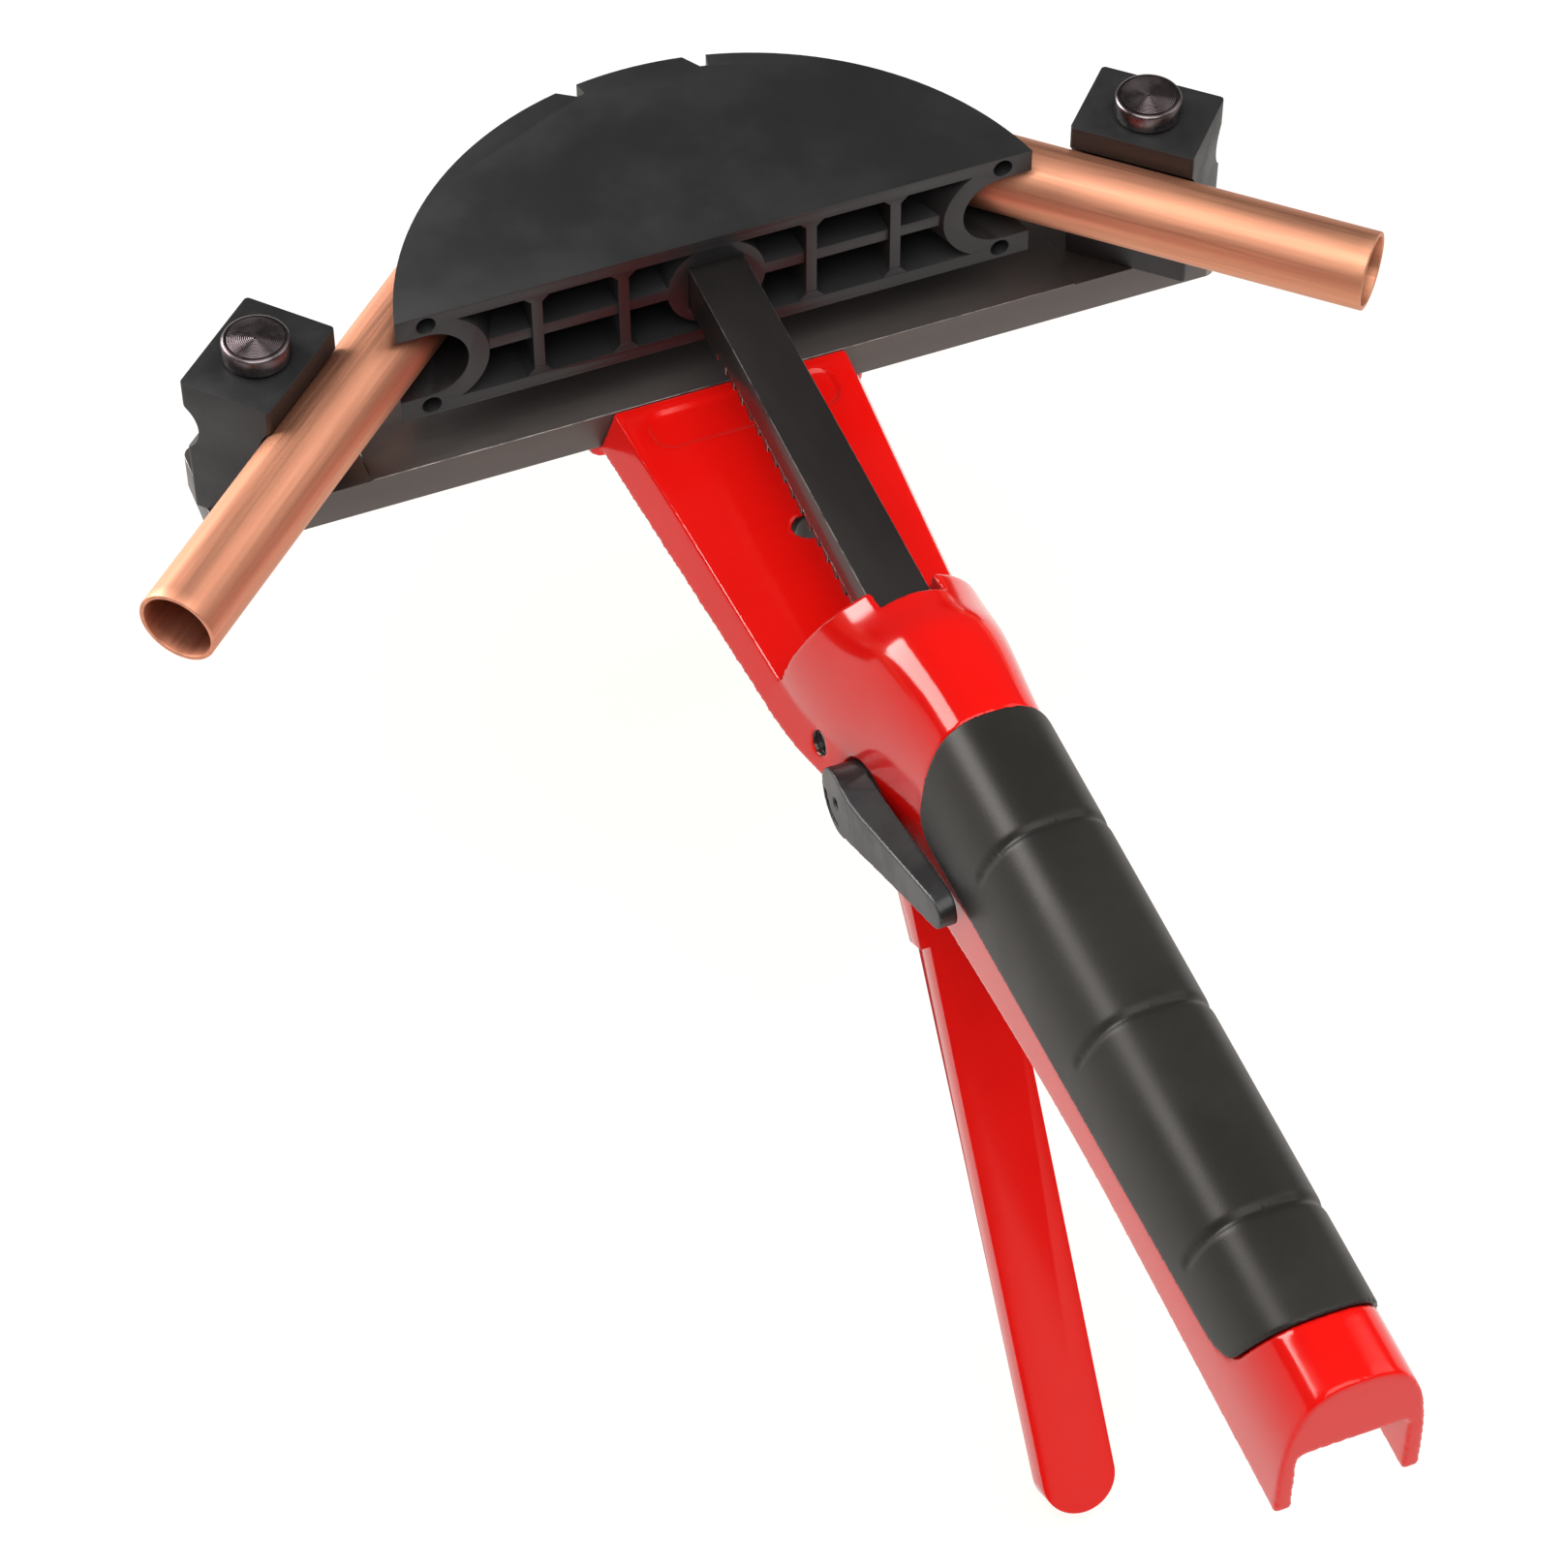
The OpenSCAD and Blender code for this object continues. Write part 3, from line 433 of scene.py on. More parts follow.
class BENDER_OT_stage(bpy.types.Operator):
    """Sets up the camera, the soft lights and the pale floor"""

    bl_idname = "bender.stage"
    bl_label = "Stage"

    def execute(self, context):
        scene = context.scene
        azimuth, elevation, roll = (math.radians(a) for a in CAMERA_TURN)
        back = Vector((math.sin(azimuth) * math.cos(elevation), -math.cos(azimuth) * math.cos(elevation),
                       math.sin(elevation)))
        right = Vector((math.cos(azimuth), math.sin(azimuth), 0))
        up = back.cross(right)
        right_rolled = math.cos(roll) * right + math.sin(roll) * up
        up_rolled = -math.sin(roll) * right + math.cos(roll) * up
        target = Vector(CAMERA_TARGET) * MM
        camera = bpy.data.cameras.new("camera")
        camera.sensor_width = CAMERA_SENSOR
        camera.lens = FOCAL_PIXELS / PICTURE_PIXELS * CAMERA_SENSOR
        camera.clip_start = 0.05
        camera.dof.use_dof = False
        eye = bpy.data.objects.new("camera", camera)
        axes = Matrix((right_rolled, up_rolled, back)).transposed().to_4x4()
        eye.matrix_world = Matrix.Translation(target + back * CAMERA_DISTANCE) @ axes
        scene.collection.objects.link(eye)
        scene.camera = eye
        scene.view_settings.view_transform = "Standard"

        for name, place, along, (width, height), power in LAMPS:
            light = bpy.data.lights.new(name, "AREA")
            light.shape = "RECTANGLE"
            light.size = width
            light.size_y = height
            light.energy = power
            lamp = bpy.data.objects.new(name, light)
            z = (Vector(place) - Vector(LAMP_AIM)).normalized()
            x = Vector(along).cross(z).normalized()
            lamp.matrix_world = Matrix.Translation(place) @ Matrix((x, z.cross(x), z)).transposed().to_4x4()
            lamp.visible_diffuse = name != STREAK_LAMP
            scene.collection.objects.link(lamp)

        world = bpy.data.worlds.new("studio")
        scene.world = world
        world.use_nodes = True
        tree = world.node_tree
        background = tree.nodes["Background"]
        path = tree.nodes.new("ShaderNodeLightPath")
        mirrored = add(tree, "ShaderNodeMix", {0: path.outputs["Is Glossy Ray"], 2: SKY_OTHER,
                                               3: SKY_MIRRORED})
        seen = add(tree, "ShaderNodeMix", {0: path.outputs["Is Camera Ray"], 2: mirrored.outputs[0],
                                           3: SKY_SEEN})
        tree.links.new(seen.outputs[0], background.inputs["Strength"])
        background.inputs["Color"].default_value = (1, 1, 1, 1)

        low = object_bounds()[0][2] / MM - FLOOR_GAP
        corners = [(x * FLOOR_HALF, y * FLOOR_HALF, low) for x, y in ((-1, -1), (1, -1), (1, 1), (-1, 1))]
        floor = mesh_object("floor", corners, [(0, 1, 2, 3)])
        floor.data.materials.append(floor_finish())
        floor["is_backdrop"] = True
        return {"FINISHED"}


def new_material(name):
    material = bpy.data.materials.new(name)
    material.use_nodes = True
    return material, material.node_tree


def floor_finish():
    """Pale floor that the camera sees as white but for the soft shadow"""
    material, tree = new_material("pale_floor")
    tree.nodes.clear()
    matt = add(tree, "ShaderNodeBsdfDiffuse", {"Color": (0.9, 0.9, 0.9, 1)})
    glow = add(tree, "ShaderNodeEmission", {"Color": FLOOR_GLOW, "Strength": FLOOR_GLOW_STRENGTH})
    path = tree.nodes.new("ShaderNodeLightPath")
    rays = math_node(tree, "MAXIMUM", path.outputs["Is Camera Ray"], path.outputs["Is Glossy Ray"])
    rays = math_node(tree, "MAXIMUM", rays, path.outputs["Is Transmission Ray"])
    share = math_node(tree, "MULTIPLY", rays, FLOOR_GLOW_SHARE)
    mix = add(tree, "ShaderNodeMixShader", {0: share, 1: matt.outputs[0], 2: glow.outputs[0]})
    add(tree, "ShaderNodeOutputMaterial", {"Surface": mix.outputs[0]})
    return material


# Shader groups that several finishes share
def new_group(name, inputs, outputs):
    tree = bpy.data.node_groups.new(name, "ShaderNodeTree")
    for label, kind, default in inputs:
        socket = tree.interface.new_socket(name=label, in_out="INPUT", socket_type=kind)
        if default is not None:
            socket.default_value = default
    for label, kind in outputs:
        tree.interface.new_socket(name=label, in_out="OUTPUT", socket_type=kind)
    return tree, tree.nodes.new("NodeGroupInput"), tree.nodes.new("NodeGroupOutput")


def feed(tree, socket, value):
    """Links a socket to another node's output, or sets it to a plain value"""
    if isinstance(value, bpy.types.NodeSocket):
        tree.links.new(value, socket)
    else:
        socket.default_value = value


def add(tree, kind, inputs):
    """A new node with its inputs filled"""
    node = tree.nodes.new(kind)
    for key, value in inputs.items():
        feed(tree, node.inputs[key], value)
    return node


def noise(tree, vector, scale, detail, rough):
    return add(tree, "ShaderNodeTexNoise", {"Detail": detail, "Roughness": rough, "Vector": vector,
                                            "Scale": scale}).outputs["Fac"]


def math_node(tree, operation, a, b, clamp=False):
    node = tree.nodes.new("ShaderNodeMath")
    node.operation = operation
    node.use_clamp = clamp
    for value, socket in zip((a, b), node.inputs):
        feed(tree, socket, value)
    return node.outputs[0]


def spread(tree, value, low, high, to_low=0.0, to_high=1.0):
    node = tree.nodes.new("ShaderNodeMapRange")
    node.interpolation_type = "SMOOTHSTEP"
    for socket, number in zip(list(node.inputs)[:5], (value, low, high, to_low, to_high)):
        feed(tree, socket, number)
    return node.outputs[0]


def blend_colour(tree, share, a, b):
    node = tree.nodes.new("ShaderNodeMix")
    node.data_type = "RGBA"
    for value, socket in zip((share, a, b), (node.inputs[0], node.inputs[6], node.inputs[7])):
        feed(tree, socket, value if isinstance(value, bpy.types.NodeSocket) else (*value[:3], 1.0))
    return node.outputs[2]


def grain_group():
    """Broad tone and fine grain over a surface"""
    tree = bpy.data.node_groups.get("surface grain")
    if tree:
        return tree
    tree, start, end = new_group(
        "surface grain",
        [("Vector", "NodeSocketVector", None), ("Tone scale", "NodeSocketFloat", 20.0),
         ("Grain scale", "NodeSocketFloat", 900.0)],
        [("Tone", "NodeSocketFloat"), ("Grain", "NodeSocketFloat")])
    tone = noise(tree, start.outputs["Vector"], start.outputs["Tone scale"], 5.0, 0.6)
    grain = noise(tree, start.outputs["Vector"], start.outputs["Grain scale"], 3.0, 0.6)
    tree.links.new(spread(tree, tone, 0.32, 0.68), end.inputs["Tone"])
    tree.links.new(grain, end.inputs["Grain"])
    return tree


def wear_group():
    """Where handling has rubbed the edges bright, from the piece's own edge attribute"""
    tree = bpy.data.node_groups.get("edge wear")
    if tree:
        return tree
    tree, start, end = new_group(
        "edge wear",
        [("Vector", "NodeSocketVector", None), ("Edge", "NodeSocketFloat", 0.0),
         ("From", "NodeSocketFloat", 0.1), ("Patch scale", "NodeSocketFloat", 120.0)],
        [("Wear", "NodeSocketFloat")])
    patch = noise(tree, start.outputs["Vector"], start.outputs["Patch scale"], 4.0, 0.65)
    edge = math_node(tree, "SUBTRACT", start.outputs["Edge"], start.outputs["From"])
    edge = math_node(tree, "MULTIPLY", edge, 6.0, clamp=True)
    tree.links.new(math_node(tree, "MULTIPLY", edge, spread(tree, patch, 0.35, 0.6)), end.inputs["Wear"])
    return tree


def use_group(tree, group, vector, values):
    node = tree.nodes.new("ShaderNodeGroup")
    node.node_tree = group
    tree.links.new(vector, node.inputs["Vector"])
    for label, value in values.items():
        feed(tree, node.inputs[label], value)
    return node


def attribute(tree, name):
    node = tree.nodes.new("ShaderNodeAttribute")
    node.attribute_name = name
    return node


def surface(name, dark, light, worn, rough, metallic=0.0, worn_metallic=0.0, tone=20.0, grain=900.0, bump=0.1,
            bump_size=0.0002, wear_from=0.1, patch=120.0, stretch=(1, 1, 1), specular=0.5,
            tint=(1, 1, 1), hole_shade_colour=None):
    """A finish with a broad tone, a fine grain, worn edges and, where a colour is given for it, painted shade
    inside drilled holes
    """
    found = bpy.data.materials.get(name)
    if found:
        return found
    material, tree = new_material(name)
    shader = tree.nodes["Principled BSDF"]
    place = tree.nodes.new("ShaderNodeTexCoord").outputs["Object"]
    mapping = add(tree, "ShaderNodeMapping", {"Scale": stretch, "Vector": place})
    cover = use_group(tree, grain_group(), mapping.outputs[0], {"Tone scale": tone, "Grain scale": grain})
    edge = attribute(tree, "edge").outputs["Fac"]
    wear = use_group(tree, wear_group(), place, {"Edge": edge, "From": wear_from, "Patch scale": patch})
    colour = blend_colour(tree, cover.outputs["Tone"], dark, light)
    colour = blend_colour(tree, wear.outputs["Wear"], colour, worn)
    # Painted shade: where the hole attribute is set, the colour turns to the given near-black
    if hole_shade_colour:
        colour = blend_colour(tree, attribute(tree, "bored").outputs["Fac"], colour, hole_shade_colour)
    tree.links.new(colour, shader.inputs["Base Color"])
    level = math_node(tree, "ADD", math_node(tree, "MULTIPLY", cover.outputs["Tone"], 0.6),
                      math_node(tree, "MULTIPLY", cover.outputs["Grain"], 0.4))
    tree.links.new(spread(tree, level, 0.1, 0.9, *rough), shader.inputs["Roughness"])
    if worn_metallic != metallic:
        bright = spread(tree, wear.outputs["Wear"], 0.0, 1.0, metallic, worn_metallic)
        tree.links.new(bright, shader.inputs["Metallic"])
    else:
        shader.inputs["Metallic"].default_value = metallic
    relief = add(tree, "ShaderNodeBump", {"Strength": bump, "Distance": bump_size,
                                          "Height": cover.outputs["Grain"]})
    tree.links.new(relief.outputs[0], shader.inputs["Normal"])
    shader.inputs["Specular IOR Level"].default_value = specular
    shader.inputs["Specular Tint"].default_value = (*tint, 1.0)
    return material


def shade(colour, factor):
    return tuple(c * factor for c in colour)


def red_enamel():
    red = colours().red
    # The last colour, near-black, is painted shade inside the casting's drilled holes
    return surface("red_enamel", shade(red, 0.93), red, red, (0.10, 0.16), tone=14, grain=420,
                   bump=0.04, bump_size=0.0003, wear_from=2, specular=0.32, tint=(1.0, 0.93, 0.85),
                   hole_shade_colour=(0.03, 0.02, 0.018))


def grip_rubber():
    rubber = colours().rubber
    return surface("moulded_rubber", shade(rubber, 0.85), shade(rubber, 1.12), shade(rubber, 1.5),
                   (0.40, 0.47), tone=30, grain=2600, bump=0.16, bump_size=0.00015, wear_from=2, specular=0.2,
                   tint=(1.0, 0.93, 0.86))


def black_oxide():
    oxide = colours().oxide
    return surface("oxide_beam", shade(oxide, 0.9), shade(oxide, 1.1), (0.42, 0.38, 0.36), (0.38, 0.46),
                   metallic=0.8, worn_metallic=0.9, tone=45, grain=1600, bump=0.08, bump_size=0.0001,
                   wear_from=0.02, patch=160, stretch=(0.25, 1, 1))


def rack_steel():
    oxide = colours().oxide
    return surface("oxide_rack", shade(oxide, 0.36), shade(oxide, 0.42), (0.34, 0.31, 0.29), (0.34, 0.40),
                   metallic=0.7, worn_metallic=0.9, tone=60, grain=1500, bump=0.05, bump_size=0.0001,
                   wear_from=0.12, patch=190, stretch=(1, 0.2, 1))


def former_plastic():
    plastic = colours().plastic
    return surface("former_plastic", shade(plastic, 0.9), shade(plastic, 1.12), shade(plastic, 2.2),
                   (0.42, 0.55), tone=28, grain=1900, bump=0.10, bump_size=0.00012, wear_from=0.10, patch=210)


def form_plastic():
    plastic = colours().plastic
    return surface("form_plastic", shade(plastic, 0.55), shade(plastic, 0.8), shade(plastic, 2.4),
                   (0.46, 0.62), tone=40, grain=1400, bump=0.14, bump_size=0.00018, wear_from=0.10, patch=240)


def lever_plastic():
    plastic = colours().plastic
    return surface("lever_plastic", shade(plastic, 0.8), shade(plastic, 1.0), shade(plastic, 2.0),
                   (0.34, 0.46), tone=60, grain=2000, bump=0.10, bump_size=0.0001, wear_from=0.14, patch=260)


def bright_steel():
    steel = colours().steel
    return surface("turned_steel", shade(steel, 0.8), shade(steel, 1.1), (0.8, 0.78, 0.76), (0.22, 0.36),
                   metallic=1.0, worn_metallic=1.0, tone=180, grain=2400, bump=0.03,
                   bump_size=0.00006, wear_from=0.1)


def pin_steel():
    steel = colours().steel
    return surface("dark_turned_steel", (0.08, 0.060, 0.063), (0.115, 0.088, 0.092), shade(steel, 0.7),
                   (0.24, 0.36), metallic=1.0, worn_metallic=1.0, tone=180, grain=2400, bump=0.03,
                   bump_size=0.00006, wear_from=0.1)


def spring_wire():
    return surface("drawn_wire", (0.26, 0.26, 0.28), (0.40, 0.40, 0.42), (0.6, 0.6, 0.6), (0.24, 0.36),
                   metallic=1.0, worn_metallic=1.0, tone=300, grain=3000, bump=0.05, bump_size=0.00005)


def pawl_steel():
    return surface("hardened_steel", (0.20, 0.19, 0.19), (0.32, 0.31, 0.30), (0.6, 0.58, 0.56), (0.30, 0.44),
                   metallic=1.0, worn_metallic=1.0, tone=150, grain=1800, bump=0.08, bump_size=0.00006)


def copper_skin():
    """Drawn copper: streaks along the tube, a slight stain, and a painted highlight that brightens the far
    left end
    """
    found = bpy.data.materials.get("copper_skin")
    if found:
        return found
    material, tree = new_material("copper_skin")
    shader = tree.nodes["Principled BSDF"]
    ring, along = attribute(tree, "ring"), attribute(tree, "along")
    spot = add(tree, "ShaderNodeSeparateXYZ", {0: ring.outputs["Vector"]})
    drawn = add(tree, "ShaderNodeCombineXYZ", {
        0: spot.outputs[0], 1: spot.outputs[1], 2: math_node(tree, "MULTIPLY", along.outputs["Fac"], 0.02)})
    streak = use_group(tree, grain_group(), drawn.outputs[0], {"Tone scale": 330.0, "Grain scale": 1500.0})
    place = tree.nodes.new("ShaderNodeTexCoord").outputs["Object"]
    cloud = use_group(tree, grain_group(), place, {"Tone scale": 22.0, "Grain scale": 260.0})
    copper = colours().copper
    colour = blend_colour(tree, streak.outputs["Tone"], shade(copper, 0.84), shade(copper, 1.08))
    stain = math_node(tree, "MULTIPLY", cloud.outputs["Tone"], 0.16)
    colour = blend_colour(tree, stain, colour, (0.66, 0.42, 0.20))
    # Painted highlight: towards the tube's far left end the colour turns brighter and yellower, standing in
    # for light on the left leg
    across = add(tree, "ShaderNodeSeparateXYZ", {0: place})
    left_end_highlight = math_node(tree, "MULTIPLY", across.outputs[0], -33.0)
    left_end_highlight = math_node(tree, "SUBTRACT", left_end_highlight, 4.9, clamp=True)
    colour = blend_colour(tree, math_node(tree, "MULTIPLY", left_end_highlight, 0.6), colour, (0.86, 0.58, 0.26))
    tree.links.new(colour, shader.inputs["Base Color"])
    tree.links.new(spread(tree, streak.outputs["Grain"], 0.25, 0.75, 0.46, 0.60), shader.inputs["Roughness"])
    shader.inputs["Metallic"].default_value = 1.0
    relief = add(tree, "ShaderNodeBump", {"Strength": 0.12, "Distance": 0.00012,
                                          "Height": streak.outputs["Grain"]})
    tree.links.new(relief.outputs[0], shader.inputs["Normal"])
    return material


# Geometry node trees for what repeats or follows a path
def new_shape_tree(name, inputs):
    tree = bpy.data.node_groups.new(name, "GeometryNodeTree")
    tree.interface.new_socket(name="Geometry", in_out="INPUT", socket_type="NodeSocketGeometry")
    for label, kind in inputs:
        tree.interface.new_socket(name=label, in_out="INPUT", socket_type=kind)
    tree.interface.new_socket(name="Geometry", in_out="OUTPUT", socket_type="NodeSocketGeometry")
    return tree, tree.nodes.new("NodeGroupInput"), tree.nodes.new("NodeGroupOutput")


def end_shape_tree(tree, start, end, geometry):
    real = add(tree, "GeometryNodeRealizeInstances", {0: geometry})
    paint = add(tree, "GeometryNodeSetMaterial", {"Geometry": real.outputs[0],
                                                  "Material": start.outputs["Material"]})
    tree.links.new(paint.outputs[0], end.inputs[0])
    return tree


def grow(obj, tree, values):
    """Runs a tree on an object and keeps the result as its plain mesh"""
    modifier = obj.modifiers.new("shape", "NODES")
    modifier.node_group = tree
    for item in tree.interface.items_tree:
        if item.item_type == "SOCKET" and item.in_out == "INPUT" and item.name in values:
            modifier[item.identifier] = values[item.name]
    return bake_modifiers(obj)


def path_tree():
    """A round wall swept along a line, which remembers its place along and around"""
    tree, start, end = new_shape_tree("swept tube", [
        ("Radius", "NodeSocketFloat"), ("Sides", "NodeSocketInt"), ("Material", "NodeSocketMaterial")])
    line = add(tree, "GeometryNodeMeshToCurve", {0: start.outputs["Geometry"]})
    length = tree.nodes.new("GeometryNodeSplineParameter")
    keep_along = tree.nodes.new("GeometryNodeStoreNamedAttribute")
    keep_along.data_type = "FLOAT"
    keep_along.inputs["Name"].default_value = "along"
    tree.links.new(line.outputs[0], keep_along.inputs["Geometry"])
    tree.links.new(length.outputs["Length"], keep_along.inputs["Value"])
    circle = add(tree, "GeometryNodeCurvePrimitiveCircle", {"Radius": start.outputs["Radius"],
                                                            "Resolution": start.outputs["Sides"]})
    keep_ring = tree.nodes.new("GeometryNodeStoreNamedAttribute")
    keep_ring.data_type = "FLOAT_VECTOR"
    keep_ring.inputs["Name"].default_value = "ring"
    tree.links.new(circle.outputs[0], keep_ring.inputs["Geometry"])
    tree.links.new(tree.nodes.new("GeometryNodeInputPosition").outputs[0], keep_ring.inputs["Value"])
    sweep = add(tree, "GeometryNodeCurveToMesh", {"Curve": keep_along.outputs[0],
                                                  "Profile Curve": keep_ring.outputs[0]})
    return end_shape_tree(tree, start, end, sweep.outputs[0])


def coil_tree():
    """A round wire wound along X"""
    tree, start, end = new_shape_tree("wound wire", [
        ("Turns", "NodeSocketFloat"), ("Coil radius", "NodeSocketFloat"), ("Height", "NodeSocketFloat"),
        ("Wire radius", "NodeSocketFloat"), ("Place", "NodeSocketVector"),
        ("Material", "NodeSocketMaterial")])
    spiral = add(tree, "GeometryNodeCurveSpiral", {
        "Resolution": 32, "Rotations": start.outputs["Turns"], "Start Radius": start.outputs["Coil radius"],
        "End Radius": start.outputs["Coil radius"], "Height": start.outputs["Height"]})
    wire = add(tree, "GeometryNodeCurvePrimitiveCircle", {"Resolution": 12,
                                                          "Radius": start.outputs["Wire radius"]})
    sweep = add(tree, "GeometryNodeCurveToMesh", {"Fill Caps": True, "Curve": spiral.outputs[0],
                                                  "Profile Curve": wire.outputs[0]})
    turn = add(tree, "GeometryNodeTransform", {"Rotation": (0, math.pi / 2, 0), "Geometry": sweep.outputs[0],
                                               "Translation": start.outputs["Place"]})
    return end_shape_tree(tree, start, end, turn.outputs[0])


def row_tree():
    """Copies of one tooth in a row under a bar"""
    tree, start, end = new_shape_tree("row of teeth", [
        ("Tooth", "NodeSocketObject"), ("Count", "NodeSocketInt"), ("First", "NodeSocketVector"),
        ("Pitch", "NodeSocketVector"), ("Material", "NodeSocketMaterial")])
    row = add(tree, "GeometryNodeMeshLine", {"Count": start.outputs["Count"],
                                             "Start Location": start.outputs["First"],
                                             "Offset": start.outputs["Pitch"]})
    tooth = add(tree, "GeometryNodeObjectInfo", {"Object": start.outputs["Tooth"]})
    copies = add(tree, "GeometryNodeInstanceOnPoints", {"Points": row.outputs[0],
                                                        "Instance": tooth.outputs["Geometry"]})
    join = tree.nodes.new("GeometryNodeJoinGeometry")
    tree.links.new(start.outputs["Geometry"], join.inputs[0])
    tree.links.new(copies.outputs[0], join.inputs[0])
    return end_shape_tree(tree, start, end, join.outputs[0])


class BENDER_OT_casting(bpy.types.Operator):
    """Builds the red casting with its head, collar and channelled handle"""

    bl_idname = "bender.casting"
    bl_label = "Casting"

    def execute(self, context):
        body = skin(0)
        recess = side_prism(grip_outline(0), -60, 60)
        combine(recess, skin(-1.5), "DIFFERENCE")
        combine(body, recess, "DIFFERENCE")
        combine(body, self.head(), "UNION")
        for w, d, y in ((66, 20, BEAM_FRONT_Y + 10), (HEAD_REAR_W, 38, BEAM_FRONT_Y + 1)):
            combine(body, prism(round_outline(w, d, 3, (0, y)), -LEDGE_LOW, -9.5), "UNION")
        chan_front = COLLAR_Y - 10.5
        chan_top, corner = RACK_HIGH - 4.2, 2.0
        channel = [(-CHAN_HALF, -60), (CHAN_HALF, -60)]
        for side, first in ((1, 0), (-1, 90)):
            turns = [math.radians(first + a) for a in range(0, 91, 15)]
            channel += [(side * (CHAN_HALF - corner) + corner * math.cos(a),
                         chan_top - corner + corner * math.sin(a)) for a in turns]
        wall = -skin_half(COLLAR_Y - RELEASE[0] + RELEASE_R + 0.5) + 0.1
        cutters = (
            prism(round_outline(44, 11, 4, (0, BEAM_FRONT_Y - 9)), -0.8, 2),
            rod("Z", -14, 2, (0, HEAD_HOLE_Y), HEAD_HOLE_R),
            long_prism(channel, END_Y - 1, chan_front),
            box((-SLOT_HALF, -274.9, RACK_LOW - 0.4), (SLOT_HALF, COLLAR_Y + 5, RACK_HIGH + 0.4)),
            box((-SLOT_HALF, COLLAR_Y - 18.7, AXIS_Z), (SLOT_HALF, COLLAR_Y + 5, 80)),
            rod("X", -60, wall, RELEASE, RELEASE_R + 0.5),
            box((-CHAN_HALF - 3.2, RELEASE[0] - 13, RELEASE[1] - 4.5),
                (-CHAN_HALF + 1, RELEASE[0] + 6, RELEASE[1] + 21)),
            rod("X", -60, 60, (PIVOT_Y, 0), PIVOT_HOLE_R),
            rod("X", -CHAN_HALF - 1.9, 60, HOLD, 1.85),
            rod("X", -60, 0, RELEASE, SHAFT_HOLE_R),
            box((-12.7, -196, 13.7), (12.7, -174, 17.7)),
            rod("Z", -22, -8, (-17, -2.5), 3.3),
            rod("Z", -22, -8, (17, -2.5), 3.3),
        )
        for cutter in cutters:
            combine(body, cutter, "DIFFERENCE")
        cast_skin(body, sizes().casting_voxel, 14, 185000)
        body.name = body.data.name = "casting"
        # Painted shade: the drilled holes get a near-black colour in place of the red paint
        self.paint_hole_shade(body)
        finish_piece(body, red_enamel(), "frame", "red_paint", "body_casting", smooth_angle=180)
        return {"FINISHED"}

    def paint_hole_shade(self, body):
        """Stores where the casting is drilled as an attribute that swaps the paint for a near-black painted
        shade inside the holes
        """
        mesh = body.data
        x, y, z = (vertex_rows(mesh, "co") / MM).T
        hole = (np.hypot(x, y - HEAD_HOLE_Y) < HEAD_HOLE_R + 0.4) & (z < -0.5)
        pivot = np.hypot(y - PIVOT_Y, z) < PIVOT_HOLE_R + 0.3
        pivot &= np.abs(x) < skin_half(COLLAR_Y - PIVOT_Y) + 1
        layer = mesh.attributes.new("bored", "FLOAT", "POINT")
        layer.data.foreach_set("value", (hole | pivot).astype(np.float32))

    def head(self):
        """A plate that tapers in plan and in thickness, with sides that lean outwards"""
        points = []
        for y, half, low in ((BEAM_FRONT_Y, HEAD_FRONT_W / 2, HEAD_FRONT_H),
                             (COLLAR_Y, HEAD_REAR_W / 2 + 1.5 * HEAD_STEP, HEAD_REAR_H)):
            foot = half + low * HEAD_LEAN
            points += [(-foot, y, -low), (foot, y, -low), (half, y, 0), (-half, y, 0)]
        faces = [(0, 1, 2, 3), (4, 7, 6, 5)] + [(i, (i + 1) % 4, 4 + (i + 1) % 4, 4 + i) for i in range(4)]
        return outward(mesh_object("head", points, faces))


class BENDER_OT_grip(bpy.types.Operator):
    """Builds the rubber grip with its shallow grooves"""

    bl_idname = "bender.grip"
    bl_label = "Grip"

    def execute(self, context):
        grip = skin(0.7)
        combine(grip, side_prism(grip_outline(0.15), -60, 60), "INTERSECT")
        combine(grip, skin(-1.4), "DIFFERENCE")
        cast_skin(grip, sizes().grip_voxel, 5, 190000)
        self.press_grooves(grip)
        grip.name = grip.data.name = "grip"
        finish_piece(grip, grip_rubber(), "frame", "grip_rubber", "hand_grip", smooth_angle=180)
        return {"FINISHED"}

    def press_grooves(self, grip):
        """Three shallow grooves across the back of the grip, which run out on its sides"""
        width = 1.0
        mesh = grip.data
        co, normal = vertex_rows(mesh, "co"), vertex_rows(mesh, "normal")
        x, y, z = (co / MM).T
        sink = np.zeros(len(co))
        for top_y in GROOVE_TOPS:
            sink += np.exp(-((y - top_y - GROOVE_LEAN * (45 - z)) / width) ** 2)
        outer = normal[:, 0] * x + normal[:, 2] * (z - 15) > 0
        sink *= outer * np.clip((z - 28.5) / 3, 0, 1)
        co -= normal * (sink * sizes().groove_depth)[:, None]
        mesh.vertices.foreach_set("co", co.ravel())
        mesh.update()


class BENDER_OT_beam(bpy.types.Operator):
    """Rounds the edges of the cross beam and finishes its screws and clips"""

    bl_idname = "bender.beam"
    bl_label = "Cross beam"

    def execute(self, context):
        beam = bevel(cad_copy("cross_beam", "beam"), 0.5 * MM, 3)
        finish_piece(beam, black_oxide(), "frame", "black_steel", "cross_beam")
        screws = bevel(cad_copy("beam_screws", "screws"), 0.35 * MM, 2)
        finish_piece(screws, black_oxide(), "frame", "black_steel", "beam_screws")
        dress("pin_clips", spring_wire())
        return {"FINISHED"}


